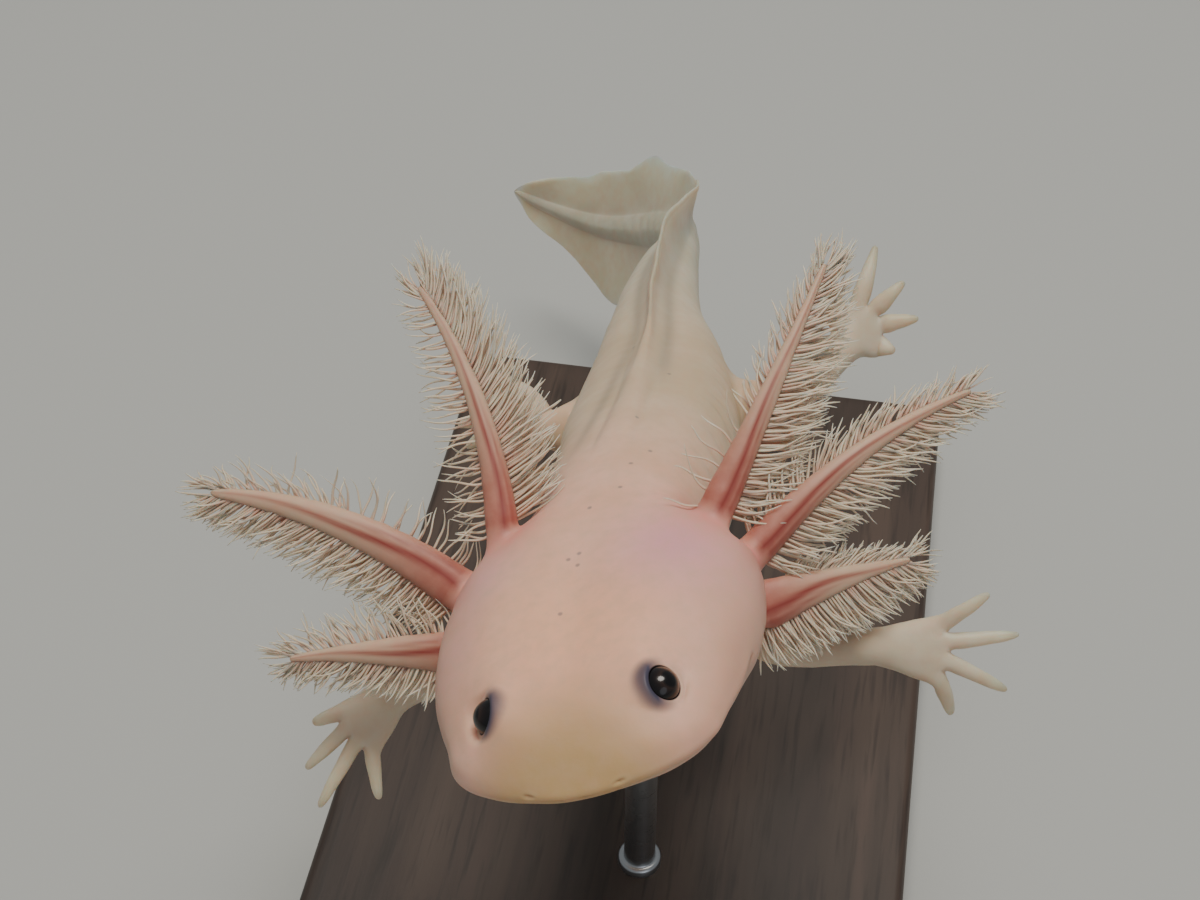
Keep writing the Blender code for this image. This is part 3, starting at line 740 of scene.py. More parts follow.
# Crown: a shallow valley between the jaw muscles, which swell behind the eyes.
lift = lift + top * (-0.3 * bump(side / 1.8) * ease((along - 6) / 6) * ease((31 - along) / 6))
for way in (-1, 1):
    lift = lift + top * 0.4 * bump((side - way * 7.2) / 3.6) * bump((along - 20.0) / 6.0)
# Throat fold and the soft creases of the neck behind the gills.
under = ease(-height / 2.0 + 0.3) * body
lift = lift - (under * 0.5 * bump((along - 29.5 - 0.02 * side ** 2) / 0.55)
               * ease((11.0 - np.abs(side)) / 3.0))
for spot in (33.4, 35.6):
    lift = lift - flank * 0.22 * bump((along - spot + 0.12 * height) / 0.4)
# Rib grooves down the flanks, and the fainter chevrons of the tail's muscle.
RIB_GAP = 3.3
RIB_DEPTH = 0.26
CHEVRON_GAP = 2.9
CHEVRON_DEPTH = 0.12
rib = nearest((along - 0.16 * height + 0.25 * np.sin(along)) / RIB_GAP)
ribbed = ease((along - 41.0) / 3.0) * ease((84.0 - along) / 4.0) * ease((rise * 0.8 - height) / 3.0)
lift = lift - flank * ribbed * RIB_DEPTH * bump(rib / 0.13)
chevron = nearest((along - 0.55 * np.abs(height)) / CHEVRON_GAP)
core = np.where(height >= 0, rise, drop)
muscled = ease((along - 86.0) / 6.0) * ease((168.0 - along) / 12.0) * ease((core - np.abs(height)) / 1.5)
lift = lift - body * muscled * CHEVRON_DEPTH * bump(chevron / 0.15)
# Creases where the back fold rises from the back.
CREASE_DEPTH = 0.2
creased = ease(follow(UPPER_FIN, along) / 0.8) * ease((92.0 - along) / 8.0)
lift = lift - top * creased * CREASE_DEPTH * bump((np.abs(side) - 2.1) / 0.5)
# Soft lumps all over, and finer ones on fins, legs and gill stalks.
lift = lift + body * (0.16 * waves(points, 9.0, 1) + 0.07 * waves(points, 3.2, 2))
lift = lift + (1.0 - body) * 0.07 * waves(points, 2.4, 3)
points = points + lift[:, None] * normals
# The thin fins wave gently from side to side.
_, _, left, above = spine_at(along)
sway = np.sin(along / 3.6 + 0.4 * np.sin(along / 7.0)) * 0.45 + np.sin(along / 1.35 + 1.0) * 0.1
points = points + (body * mark["fin"] ** 2 * sway * ease((along - 84.0) / 16.0))[:, None] * left
# Their edges run slightly uneven, with one low peak above where the tail turns.
peak = (mark["fin"] > 0.0) * (0.7 * bump((along - 146.0) / 2.2) - 0.5 * bump((along - 152.5) / 2.0))
uneven = 0.2 * np.sin(along / 2.1 + 0.7) + 0.1 * np.sin(along / 1.15) + peak
points = points + (body * mark["fin"] ** 3 * uneven * ease((along - 88.0) / 14.0)
                   * ease((178.0 - along) / 10.0))[:, None] * above
skin_mesh.vertices.foreach_set("co", (points * MM).astype(np.float32).ravel())
skin_mesh.update()

# Marks that the colours follow: each a formula of the place on the body, 0 to 1.
# Blood at the gills' roots.
gill_roots = np.array([stalk_line(gill, np.array([0.1]))[0][0] for gill in GILLS])
near_gills = np.max([bump(np.linalg.norm(points - root, axis=1) / 4.6) for root in gill_roots], 0)
# Lilac patches: station, distance to the left, length, width and strength.
LILAC = ((25.5, 9.5, 6.0, 5.5, 1.0), (27.0, -11.0, 5.0, 4.0, 0.55), (17.0, -12.5, 4.5, 3.0, 0.3))
lilac = sum(share * bump((along - at) / long) * bump((side - across) / wide_at)
            for at, across, long, wide_at, share in LILAC)
# Painted shade: the skin that turns in under each eyeball, in the narrow gap round it, is painted nearly
# black.
painted_socket_shade = np.zeros(total)
for centre, way, across, front in eyes.values():
    off = points - centre
    far = np.linalg.norm(off, axis=1)
    painted_socket_shade = np.maximum(painted_socket_shade, (off @ way > -0.8) * (far < 5.0) * ease((2.02 - far) / 0.12))
# Painted shade: two soft grey lines of shadow run down the back in the creases beside the fold, one
# longer than the other: the way each takes, as station and distance to the left, and the station where it
# begins.
CREASE_SHADE_PATHS = ((((36, -5.6), (50, -4.2), (66, -2.9), (84, -2.2), (120, -1.4)), 40.0),
           (((36, 3.4), (60, 2.8), (84, 2.1), (120, 1.4)), 58.0))
painted_crease_shade = sum(bump((side - follow(path, along)) / 0.75) * ease((along - begins) / 12.0)
             for path, begins in CREASE_SHADE_PATHS)
# Red vessels along the front of each gill stalk: one that winds and a short branch.
vessel_at = 0.05 + 0.16 * np.sin(9.0 * mark["reach"])
branch = 0.55 * bump((mark["edge"] - vessel_at - 0.5) / 0.13) * ease((0.7 - mark["reach"]) / 0.3)
vessel = (mark["stalk"] * np.maximum(bump((mark["edge"] - vessel_at) / 0.2), branch)
          * ease(mark["face"] * 1.6) * (1.0 - 0.65 * ease(mark["reach"] * 1.6 - 0.6)))
limb = mark["limb"]
colour_marks = {
    "flush": near_gills * (1.0 - limb) * (1.0 - mark["stalk"]),
    "lilac": lilac * body * ease(height / 4.0 + 0.6),
    # Painted shade: the sides of the head are darkened for the shade that the light from above leaves on
    # them.
    "painted_cheek_shade": 0.6 * body * ease((np.abs(side) - 7.0) / 9.0) * ease((34.0 - along) / 8.0)
             * ease((height + 5.0) / 4.0),
    "painted_socket_shade": painted_socket_shade,
    # Partly painted shade: the snout's own yellowish cream, made darker for the shade on its front, which
    # faces away from the light above.
    "snout_cream_and_shade": 0.85 * body * ease((11.5 - along - 0.06 * side ** 2) / 10.0)
             * (0.3 + 0.7 * ease((height + 2.6) / 2.4)),
    "peach": body * bump((along - 15.0) / 9.0) * bump(side / 9.0) * ease(height / 4.0),
    "backward": body * ease((along - 30.0) / 32.0) + limb * 0.8,
    "tailward": body * ease((along - 70.0) / 50.0) + 0.65 * limb * ease(mark["reach"] * 1.6 - 0.3),
    "toe_tip": 0.45 * limb * ease((mark["reach"] - 0.93) / 0.07),
    "painted_crease_shade": 0.5 * body * painted_crease_shade * ease(height / 2.0) * ease((122.0 - along) / 26.0),
    "crest": 0.5 * body * ease((mark["fin"] - 0.84) / 0.1) * ease((along - 60.0) / 20.0)
             * ease((136.0 - along) / 14.0),
    "lip": gape * bump((height - follow(MOUTH_LINE, along)) / 0.28),
    "vessel": vessel,
    "thin": np.abs(mark["fin"]) * ease((along - 84.0) / 14.0)
            + limb * ease((mark["reach"] - 0.6) / 0.4) * 0.8,
}
for name, values in colour_marks.items():
    set_mark(skin_mesh, name, values)
# Freckles: station and degrees from the top, towards the animal's left.
FRECKLES = ((35.0, 17), (32.0, -2), (25.5, 0), (25.0, -6), (24.0, 1), (17.5, -12), (39.5, 19),
            (42.0, 28), (49.5, 10), (64.5, 19), (75.5, -11))
FRECKLE = 0.00034               # radius of a freckle's soft spot in metres
turned = np.degrees(np.arctan2(side, height))
elsewhere = (body < 0.99) * 1e6
freckle_places = [points[np.argmin(((along - at) / 0.3) ** 2 + (turned - lean) ** 2 + elsewhere)] * MM
                  for at, lean in FRECKLES]


def linear(code):
    """sRGB hex colour as linear red, green, blue and 1."""
    parts = np.array([int(code[i:i + 2], 16) for i in (1, 3, 5)]) / 255.0
    parts = np.where(parts <= 0.04045, parts / 12.92, ((parts + 0.055) / 1.055) ** 2.4)
    return (*parts.tolist(), 1.0)


def new_material(name):
    """Empty material with its shader."""
    material = bpy.data.materials.new(name)
    material.use_nodes = True
    return material, material.node_tree.nodes["Principled BSDF"]


def feed(target, inputs):
    """Gives a node's inputs, by name or number, another node's output, a colour as a hex
    code or a value."""
    for key, value in inputs.items():
        if isinstance(value, bpy.types.NodeSocket):
            target.id_data.links.new(value, target.inputs[key])
        else:
            target.inputs[key].default_value = linear(value) if isinstance(value, str) else value


def node(material, kind, inputs=None, stops=(), **settings):
    """Adds a shader node of a kind with its settings, its inputs and, on a colour ramp, its
    stops: places and hex codes, with the two ends first."""
    made = material.node_tree.nodes.new("ShaderNode" + kind)
    for key, value in settings.items():
        setattr(made, key, value)
    for k, (spot, code) in enumerate(stops):
        row = made.color_ramp.elements
        stop = row[k] if k < 2 else row.new(spot)
        stop.position = spot
        stop.color = linear(code)
    feed(made, inputs or {})
    return made


# Wet amphibian skin of a pale axolotl: no pigment but a pinkish cream, with blood showing
# through near the gills. That gives soft, satin light that sinks in a little.
skin_finish, shader = new_material("moist_pale_amphibian_skin")
place = node(skin_finish, "TexCoord").outputs["Object"]
read = {name: node(skin_finish, "Attribute", attribute_name=name).outputs["Fac"]
        for name in (*colour_marks, "stalk", "reach")}
MOTTLE = 1000.0 / 7.0           # cycles a metre of the broad colour drift, 7 mm across
broad = node(skin_finish, "TexNoise", {"Vector": place, "Scale": MOTTLE, "Detail": 3.0,
                                       "Roughness": 0.5}).outputs["Fac"]
fine = node(skin_finish, "TexNoise", {"Vector": place, "Scale": MOTTLE * 5.0,
                                      "Detail": 3.0}).outputs["Fac"]
patchy = node(skin_finish, "MapRange", {"Value": broad, 1: 0.35, 2: 0.65, 3: 0.0, 4: 1.0}).outputs[0]
speck = node(skin_finish, "MapRange", {"Value": fine, 1: 0.4, 2: 0.75, 3: 0.0, 4: 0.35}).outputs[0]
paled = node(skin_finish, "MapRange", {"Value": read["reach"], 1: 0.08, 2: 0.62, 3: 0.0, 4: 1.0},
             interpolation_type="SMOOTHSTEP").outputs[0]
grounds = ((patchy, "#e3b39a", "#eabca6"), (patchy, "#c6b091", "#cfba9f"),
           (patchy, "#bfbda6", "#cbc8b5"), (paled, "#ad6a5c", "#c6aa91"))
head, trunk, tail, stalk = (node(skin_finish, "Mix", {0: share, 6: one, 7: other},
                                 data_type="RGBA").outputs[2] for share, one, other in grounds)
stalk = node(skin_finish, "Mix", {0: speck, 6: stalk, 7: "#cf9c88"}, data_type="RGBA").outputs[2]
# Thin washes laid in turn over the colour of the head: the share that each covers and its own colour. The
# cheek, crease and socket washes are painted shade, and the snout's cream is partly painted shade.
washes = [(read["peach"], "#efb898"), (read["backward"], trunk), (read["tailward"], tail),
          (read["painted_cheek_shade"], "#bb9280"), (read["snout_cream_and_shade"], "#b99c68"), (read["lilac"], "#dba0a6"),
          (read["flush"], "#d98a80"), (speck, "#c9a88c"), (read["toe_tip"], "#9b8270"),
          (read["painted_crease_shade"], "#8d8272"), (read["crest"], "#9c9380"), (read["lip"], "#a5835c"),
          (read["stalk"], stalk), (read["vessel"], "#8c3c36")]
for spot in freckle_places:
    far = node(skin_finish, "VectorMath", {0: place, 1: tuple(spot)}, operation="DISTANCE")
    dot = node(skin_finish, "MapRange", {"Value": far.outputs["Value"], 1: FRECKLE * 0.3, 2: FRECKLE,
                                         3: 0.6, 4: 0.0}, interpolation_type="SMOOTHSTEP")
    washes.append((dot.outputs[0], "#6f6a70"))
# The dark lining of the eyeball shows blue-grey through the skin on the inner side of each
# eye, within 3 mm of its centre, and light sinks in less there.
clear = node(skin_finish, "Math", {0: 1.0, 1: read["painted_socket_shade"]}, operation="SUBTRACT").outputs[0]
for side, (centre, way, across, front) in zip((-1, 1), eyes.values()):
    inward = unit(-side * across - 0.7 * spine_at(EYE_AT[0])[1])
    off = node(skin_finish, "VectorMath", {0: place, 1: tuple(centre * MM)}, operation="SUBTRACT")
    far = node(skin_finish, "VectorMath", {0: off.outputs["Vector"]}, operation="LENGTH")
    ring = node(skin_finish, "MapRange", {"Value": far.outputs["Value"], 1: 0.0022, 2: 0.0031, 3: 0.95,
                                          4: 0.0}, interpolation_type="SMOOTHSTEP")
    inner = node(skin_finish, "VectorMath", {0: off.outputs["Vector"], 1: tuple(inward)},
                 operation="DOT_PRODUCT")
    inner = node(skin_finish, "MapRange", {"Value": inner.outputs["Value"], 1: -0.0006, 2: 0.0014,
                                           3: 0.06, 4: 1.0})
    haze = node(skin_finish, "Math", {0: ring.outputs[0], 1: inner.outputs[0]},
                operation="MULTIPLY").outputs[0]
    washes.append((haze, "#28324b"))
    clear = node(skin_finish, "Math", {0: clear, 1: haze}, operation="SUBTRACT",
                 use_clamp=True).outputs[0]
# Painted shade, nearly black, in the gap round each eyeball.
washes.append((read["painted_socket_shade"], "#17131a"))
colour = head
for share, wash in washes:
    colour = node(skin_finish, "Mix", {0: share, 6: colour, 7: wash}, data_type="RGBA").outputs[2]
thickness = {"Value": read["thin"], 1: 0.0, 2: 1.0}
weight = node(skin_finish, "MapRange", {**thickness, 3: 0.6, 4: 0.95})
weight = node(skin_finish, "Math", {0: clear, 1: weight.outputs[0]}, operation="MULTIPLY")
deep = node(skin_finish, "MapRange", {**thickness, 3: 0.0022, 4: 0.007})
grain = node(skin_finish, "TexNoise", {"Vector": place, "Scale": 1000.0 / 0.5, "Detail": 2.0})
relief = node(skin_finish, "Bump", {"Height": grain.outputs["Fac"], "Strength": 0.25,
                                    "Distance": 0.00006})
feed(shader, {"Base Color": colour, "Roughness": 0.48, "IOR": 1.38,
              "Subsurface Weight": weight.outputs[0], "Subsurface Radius": (1.0, 0.45, 0.3),
              "Subsurface Scale": deep.outputs[0], "Normal": relief.outputs["Normal"]})

FLESH = ("head", "neck", "trunk", "tail", "fin", "leg", "gill")
flesh = [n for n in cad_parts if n.split("_")[0] in FLESH]
place_piece("skin", skin_mesh, "skin", skin_finish, *flesh)

# ------------------------------------------------------------------ gill filaments
# Soft, blood-filled threads that comb out from both edges of every gill stalk in close
# rows, longest at the middle and brushed together at the tip.
# Bands of threads on each gill: side of the stalk, rows, threads in a row, the share of the
# stalk where the band starts and ends, length, degrees by which threads lean to the tip at
# its start and end, and how unruly they are.
BANDS = {
    "gill_right_top": ((1, 4, 58, 0.12, 0.97, 7.6, 22, 52, 0.10),
                       (-1, 3, 24, 0.08, 0.92, 4.6, -14, 20, 0.26)),
    "gill_right_middle": ((-1, 4, 56, 0.10, 0.97, 6.0, 8, 48, 0.14),
                          (1, 2, 22, 0.10, 0.95, 4.4, -8, 36, 0.28),
                          (1, 1, 20, 0.55, 0.98, 2.8, 30, 62, 0.20)),
    "gill_right_bottom": ((-1, 4, 42, 0.10, 0.97, 4.4, 14, 50, 0.16),
                          (1, 3, 24, 0.16, 0.97, 4.6, 6, 46, 0.26)),
    "gill_left_top": ((1, 5, 56, 0.08, 0.98, 6.6, 8, 58, 0.13),
                      (-1, 3, 18, 0.42, 0.97, 3.8, 38, 62, 0.14),
                      (-1, 1, 7, 0.08, 0.34, 4.6, 2, 16, 0.40)),
    "gill_left_middle": ((1, 4, 56, 0.08, 0.98, 5.8, 18, 58, 0.16),
                         (-1, 3, 30, 0.12, 0.98, 4.8, 38, 62, 0.12)),
    "gill_left_bottom": ((1, 5, 50, 0.05, 0.98, 5.2, -6, 48, 0.14),
                         (-1, 4, 26, 0.30, 0.98, 3.2, 40, 66, 0.14)),
}
TUFT = 26                       # threads brushed together at each tip
TUFT_LENGTH = 3.6
THREAD_HALF = (0.12, 0.165)     # finest and stoutest half thickness at the root
THREAD_STEPS = 12
THREAD_ROUND = 6
PATCH = 0.003                   # side of each thread's place on the unwrap
thread_mix = np.random.default_rng(7)


def comb(index, gill):
    """Threads along one stalk. Each runs from its root by its lean, swept on towards the tip
    by the square of the distance, with a small wave; its section is a flat ellipse that
    narrows a little and ends blunt. Neighbours lean alike, by slow waves along the stalk."""
    columns = []
    for side, band_rows, number, low, high, long, lean_low, lean_high, wild in BANDS[gill[0]]:
        for row in range(band_rows):
            stray = thread_mix.uniform(-0.4, 0.4, number) * (high - low) / number
            spot = np.linspace(low, high, number) + stray
            share = (spot - low) / (high - low)
            wave = thread_mix.uniform(0.0, 6.28, 3)
            drift = np.sin(9.0 * spot + wave[0]) + 0.6 * np.sin(23.0 * spot + wave[1])
            lean = lean_low + (lean_high - lean_low) * share + 4.0 * drift
            size = long * (0.62 + 0.38 * np.sin(np.pi * (0.12 + 0.8 * share)))
            level = 0.15 - 1.35 * (row + 0.5) / band_rows + 0 * spot
            columns.append(np.stack([spot, side + 0 * spot, level, size, lean, wild + 0 * spot, drift]))
    spot = thread_mix.uniform(0.93, 1.0, TUFT)
    lean = thread_mix.uniform(44.0, 88.0, TUFT)
    side = np.where(np.arange(TUFT) % 2 == 0, 1.0, -1.0)
    columns.append(np.stack([spot, side, thread_mix.uniform(-0.9, 0.3, TUFT), TUFT_LENGTH + 0 * spot,
                             lean, 0.12 + 0 * spot, 0 * spot]))
    t, edge, level, long, lean, wild, drift = np.concatenate(columns, 1)
    t = np.clip(t, 0.0, 1.0)
    number = len(t)
    centre, run, across, front = stalk_line(gill, t)
    wide, deep = stalk_sizes(gill, t)
    root = centre + (edge * wide * 0.8)[:, None] * across + (level * deep * 0.55)[:, None] * front
    lean = np.radians(np.clip(lean + wild * thread_mix.normal(0.0, 22.0, number), -40.0, 89.0))
    tilt = 0.34 * level + wild * thread_mix.normal(0.0, 0.7, number)
    way = unit((edge * np.cos(lean))[:, None] * across + np.sin(lean)[:, None] * run
               + tilt[:, None] * front)
    long = long * thread_mix.uniform(0.82, 1.1, number)
    curl = 0.16 + 0.05 * drift + wild * thread_mix.normal(0.0, 0.9, number)
    roll = wild * thread_mix.normal(0.0, 0.8, number)
    phase = thread_mix.uniform(0.0, 6.28, number)
    swing = (0.015 + 0.16 * wild) * thread_mix.uniform(0.5, 1.3, number)
    s = np.linspace(0.0, 1.0, THREAD_STEPS)[None, :]
    bend = unit(run - np.sum(run * way, -1, keepdims=True) * way)
    out = np.cross(way, bend)
    l = long[:, None]
    along_bend = l * (curl[:, None] * s ** 2 + swing[:, None] * np.sin(6.0 * s + phase[:, None]) * s)
    along_out = l * (roll[:, None] * s ** 2 + swing[:, None] * np.cos(5.0 * s + phase[:, None]) * s)
    path = (root[:, None] + (l * s)[..., None] * way[:, None] + along_bend[..., None] * bend[:, None]
            + along_out[..., None] * out[:, None])
    thick = thread_mix.uniform(*THREAD_HALF, number)[:, None] * (1.0 - 0.4 * s - 0.35 * s ** 8)
    a = turns(THREAD_ROUND)
    surface = (path[:, :, None] + (thick[..., None] * np.cos(a))[..., None] * bend[:, None, None]
               + (0.6 * thick[..., None] * np.sin(a))[..., None] * out[:, None, None])
    per = THREAD_STEPS * THREAD_ROUND
    corners, charts = quads(THREAD_STEPS, THREAD_ROUND, True, (0.0, 0.0, PATCH, PATCH))
    starts = np.arange(number)[:, None, None] * per
    faces = (corners[None] + starts).reshape(-1, 4)
    home = np.stack([0.02 + index * 0.16 + 0.14 * t, 0.56 + 0.03 * edge + 0.008 * level], -1)
    home = home[:, None, None]
    places = (charts[None] + home).reshape(-1, 2)
    ends = np.arange(THREAD_ROUND)
    caps = np.concatenate([starts[:, 0] + ends[::-1], starts[:, 0] + per - THREAD_ROUND + ends])
    disc = 0.0008 * np.stack([np.cos(a), np.sin(a)], -1)[None]
    cap_places = np.concatenate([home[:, 0] + disc + 0.001, home[:, 0] + disc + 0.002]).reshape(-1, 2)
    shade = np.broadcast_to(s[..., None], surface.shape[:3]).ravel()
    tone = np.broadcast_to(thread_mix.random(number)[:, None, None], surface.shape[:3]).ravel()
    return surface.reshape(-1, 3), faces, caps, places, cap_places, shade, tone


# Thin wet skin over blood, without pigment: the threads are reddish at the root, then pale
# and nearly clear, and light sinks right through them.
thread_finish, shader = new_material("translucent_gill_threads")
shade, tone = (node(thread_finish, "Attribute", attribute_name=name).outputs["Fac"]
               for name in ("shade", "tone"))
paling = node(thread_finish, "ValToRGB", {"Fac": shade},
              stops=((0.0, "#c08c7a"), (1.0, "#e0d5c3"), (0.3, "#d0b19b")))
colour = node(thread_finish, "Mix", {0: tone, 6: paling.outputs["Color"], 7: "#d2c0a8"}, data_type="RGBA")
feed(shader, {"Base Color": colour.outputs[2],
              "Roughness": 0.45, "Subsurface Weight": 0.5, "Subsurface Radius": (1.0, 0.45, 0.3),
              "Subsurface Scale": 0.0006})

for side in ("left", "right"):
    gathered = [comb(i, gill) for i, gill in enumerate(GILLS) if side in gill[0]]
    starts = np.cumsum([0] + [len(g[0]) for g in gathered])
    points = np.concatenate([g[0] for g in gathered])
    faces = [f for k in (1, 2) for g, s in zip(gathered, starts) for f in (g[k] + s).tolist()]
    charts = np.concatenate([g[k] for k in (3, 4) for g in gathered])
    mesh = make_mesh("gill_filaments_" + side, points, faces, charts)
    set_mark(mesh, "shade", np.concatenate([g[5] for g in gathered]))
    set_mark(mesh, "tone", np.concatenate([g[6] for g in gathered]))
    place_piece("gill_filaments_" + side, mesh, "gill_skin", thread_finish,
                *[g[0] for g in GILLS if side in g[0]])

# ------------------------------------------------------------------ eyes
# Small lidless eyeballs, with a clear cornea that bulges slightly over a nearly black pupil
# and a faint brown ring of iris. They sit in the sockets of the skin and keep apart from it.
EYE_ROWS = 32
EYE_ROUND = 40
CORNEA_BULGE = 0.1


def stack_rings(name, rings):
    """Closed mesh of a stack of rings, with a face across each end."""
    rows, columns = rings.shape[:2]
    corners, _ = quads(rows, columns, True, (0, 0, 1, 1))
    last = (rows - 1) * columns
    ends = [list(range(columns)), list(range(last, last + columns))]
    return make_mesh(name, rings.reshape(-1, 3), corners.tolist() + ends)


# Wet living tissue behind a clear cornea: dark, with a sharp small highlight.
eye_finish, shader = new_material("glossy_dark_eye")
polar = node(eye_finish, "Attribute", attribute_name="polar").outputs["Fac"]
iris = node(eye_finish, "ValToRGB", {"Fac": polar},
            stops=((0.0, "#0b0808"), (1.0, "#100d0f"), (0.12, "#0b0808"), (0.16, "#2c1f1a"),
                   (0.22, "#1c1413"), (0.30, "#0e0b0c")))
feed(shader, {"Base Color": iris.outputs["Color"], "Roughness": 0.2, "IOR": 1.376, "Coat Weight": 0.3,
              "Coat Roughness": 0.08})

for name, (centre, way, across, front) in eyes.items():
    polar = np.linspace(0.02, math.pi - 0.02, EYE_ROWS)[:, None]
    a = turns(EYE_ROUND)[None, :]
    far = EYE_RADIUS + CORNEA_BULGE * bump(polar / 0.6) + 0 * a
    ball = centre + far[..., None] * (np.cos(polar + 0 * a)[..., None] * way
                                      + (np.sin(polar) * np.cos(a))[..., None] * across
                                      + (np.sin(polar) * np.sin(a))[..., None] * front)
    mesh = stack_rings(name + "_ball", ball)
    set_mark(mesh, "polar", np.broadcast_to(polar / math.pi, (EYE_ROWS, EYE_ROUND)).ravel())
    place_piece(name + "_ball", mesh, "eye", eye_finish, name)

# ------------------------------------------------------------------ stand base
# A plain walnut board, sawn, rounded at the corners and eased along the top, then oiled.
BASE_CORNER = 5.0
BASE_EASE = 1.2
BASE_FOOT = 0.5                 # bevel along the underside
base_low, base_high = (np.array(c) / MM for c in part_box("stand_base"))


def base_outline(inset, height, steps=12):
    """Rounded rectangle of the base drawn in by inset: four quarter circles in turn."""
    a = np.radians(np.linspace(0.0, 90.0, steps))
    centre = (base_low + base_high) / 2.0
    half = (base_high - base_low) / 2.0 - BASE_CORNER
    corners = []
    for quarter, (sx, sy) in enumerate(((1, 1), (-1, 1), (-1, -1), (1, -1))):
        turned = a + quarter * math.pi / 2
        corners.append(np.stack([centre[0] + sx * half[0] + (BASE_CORNER - inset) * np.cos(turned),
                                 centre[1] + sy * half[1] + (BASE_CORNER - inset) * np.sin(turned),
                                 np.full(steps, height)], -1))
    return np.concatenate(corners)


top = base_high[2]
curve = np.radians(np.linspace(0.0, 90.0, 6))
profile = [(BASE_FOOT, 0.0), (0.0, BASE_FOOT), (0.0, top / 2)]
profile += [(BASE_EASE * (1 - math.cos(c)), top - BASE_EASE * (1 - math.sin(c))) for c in curve]
profile += [(BASE_EASE + 1.0, top)]

# Walnut, planed and oiled: dark bands 9 mm apart and fine pores drawn out along the board,
# 0.9 mm across where real ones are a third of that, with a low satin sheen.
wood_finish, shader = new_material("oiled_walnut")
place = node(wood_finish, "TexCoord").outputs["Object"]
grained = node(wood_finish, "Mapping", {"Vector": place, "Scale": (1.0, 0.07, 1.0)}).outputs["Vector"]
bands = node(wood_finish, "TexNoise", {"Vector": grained, "Scale": 1000.0 / 9.0, "Detail": 4.0,
                                       "Distortion": 0.6})
pores = node(wood_finish, "TexNoise", {"Vector": grained, "Scale": 1000.0 / 0.9, "Detail": 2.0})
timber = node(wood_finish, "ValToRGB", {"Fac": bands.outputs["Fac"]},
              stops=((0.32, "#2f2621"), (0.68, "#4f4037")))
dark = node(wood_finish, "MapRange", {"Value": pores.outputs["Fac"], 1: 0.52, 2: 0.7, 3: 0.0, 4: 0.55})
relief = node(wood_finish, "Bump", {"Height": pores.outputs["Fac"], "Strength": 0.3, "Distance": 0.00008})
colour = node(wood_finish, "Mix", {0: dark.outputs[0], 6: timber.outputs["Color"], 7: "#1f1814"},
              data_type="RGBA")
feed(shader, {"Base Color": colour.outputs[2],
              "Roughness": 0.46, "Normal": relief.outputs["Normal"]})
board = stack_rings("stand_base_board", np.array([base_outline(*spot) for spot in profile]))
place_piece("stand_base_board", board, "walnut", wood_finish, "stand_base")

# ------------------------------------------------------------------ stand rods
# Two steel rods, turned, each with a small collar where it stands in its blind hole in the
# base, and with its upper end eased where it meets the belly.
ROD_RADIUS = 2.0
COLLAR_RADIUS = 2.8
ROD_SUNK = 3.0                  # depth of the blind hole
ROD_INTO_BELLY = 0.8
ROD_ROUND = 32

# Stainless steel, brushed round the rod: pale grey metal whose highlights are drawn out
# round it by fine lines, 0.13 mm apart and 3 mm long.
steel_finish, shader = new_material("brushed_stainless_steel")
place = node(steel_finish, "TexCoord").outputs["Object"]
lines = node(steel_finish, "Mapping", {"Vector": place, "Scale": (0.25, 0.25, 6.0)}).outputs["Vector"]
brush = node(steel_finish, "TexNoise", {"Vector": lines, "Scale": 1000.0 / 0.8,
                                        "Detail": 2.0}).outputs["Fac"]
rough = node(steel_finish, "MapRange", {"Value": brush, 1: 0.3, 2: 0.7, 3: 0.27, 4: 0.34})
colour = node(steel_finish, "Mix", {0: brush, 6: "#bcbec0", 7: "#c3c5c6"}, data_type="RGBA")
feed(shader, {"Base Color": colour.outputs[2], "Metallic": 1.0,
              "Roughness": rough.outputs[0]})

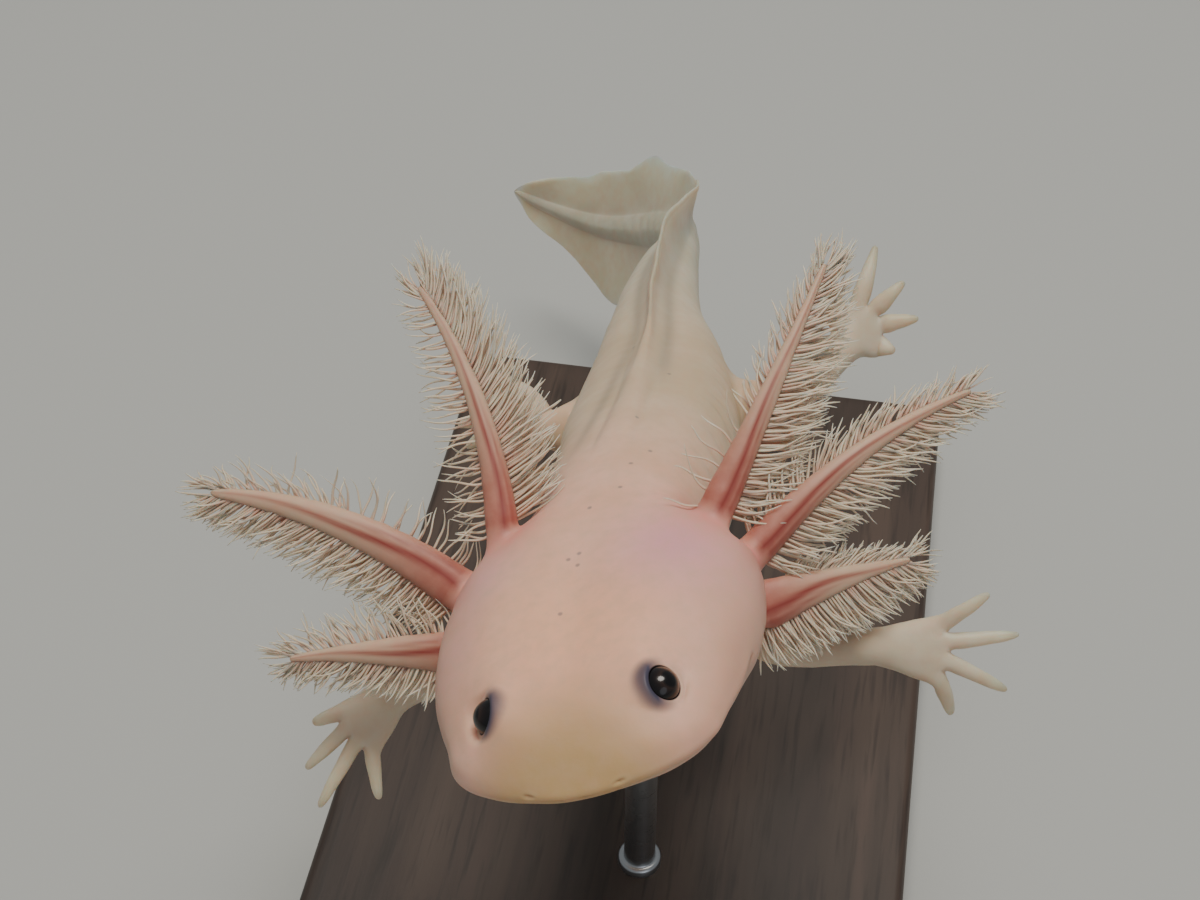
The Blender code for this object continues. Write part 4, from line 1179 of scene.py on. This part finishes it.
for name in ("stand_rod_front", "stand_rod_rear"):
    low, high = (np.array(c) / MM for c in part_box(name))
    x, y = ((low + high) / 2.0)[:2]
    foot = base_high[2]
    tip = high[2] + ROD_INTO_BELLY
    profile = np.array([(0.2, foot - ROD_SUNK), (COLLAR_RADIUS, foot - ROD_SUNK),
                        (COLLAR_RADIUS, foot + 0.9), (2.6, foot + 1.15), (2.3, foot + 1.25),
                        (2.05, foot + 1.3), (ROD_RADIUS, foot + 1.6), (ROD_RADIUS, tip - 1.1),
                        (1.8, tip - 0.2), (0.2, tip)])
    a = turns(ROD_ROUND)[None, :]
    rod = np.stack([x + profile[:, :1] * np.cos(a), y + profile[:, :1] * np.sin(a),
                    profile[:, 1:] + 0 * a], -1)
    place_piece(name + "_bar", stack_rings(name + "_bar", rod), "steel", steel_finish, name)

# ------------------------------------------------------------------ floor and light
# A plain pale floor, one large soft light above the animal, a weaker one in front on its
# left and an even glow all round.
FLOOR_HALF = 1.5
floor_mesh = bpy.data.meshes.new("floor")
floor_mesh.from_pydata([(-FLOOR_HALF, -FLOOR_HALF, 0), (FLOOR_HALF, -FLOOR_HALF, 0),
                        (FLOOR_HALF, FLOOR_HALF, 0), (-FLOOR_HALF, FLOOR_HALF, 0)], [], [(0, 1, 2, 3)])
floor = bpy.data.objects.new("floor", floor_mesh)
bpy.context.collection.objects.link(floor)
floor_finish, shader = new_material("matt_pale_board")
feed(shader, {"Base Color": "#b4b6b3", "Roughness": 0.9})
floor_mesh.materials.append(floor_finish)

# Name, place in metres, width, power in watts and colour; each faces LIGHT_AIM.
LIGHT_AIM = (0.0, 0.0, 0.07)
LIGHTS = (
    ("key", (0.02, 0.06, 0.86), 0.42, 5.9, "#fff8ee"),
    ("fill", (0.45, -0.75, 0.45), 0.6, 0.8, "#eef3ff"),
)
for name, at, size, power, tint in LIGHTS:
    lamp = bpy.data.lights.new(name, "AREA")
    lamp.shape = "DISK"
    lamp.size = size
    lamp.energy = power
    lamp.color = linear(tint)[:3]
    toward = unit(np.array(at) - np.array(LIGHT_AIM))
    set_facing(bpy.data.objects.new(name, lamp), at, unit(np.cross([0.0, 0.0, 1.0], toward)), toward)
world = bpy.data.worlds.new("studio")
world.use_nodes = True
feed(world.node_tree.nodes["Background"], {"Color": "#e6ecf0", "Strength": 0.3})
bpy.context.scene.world = world
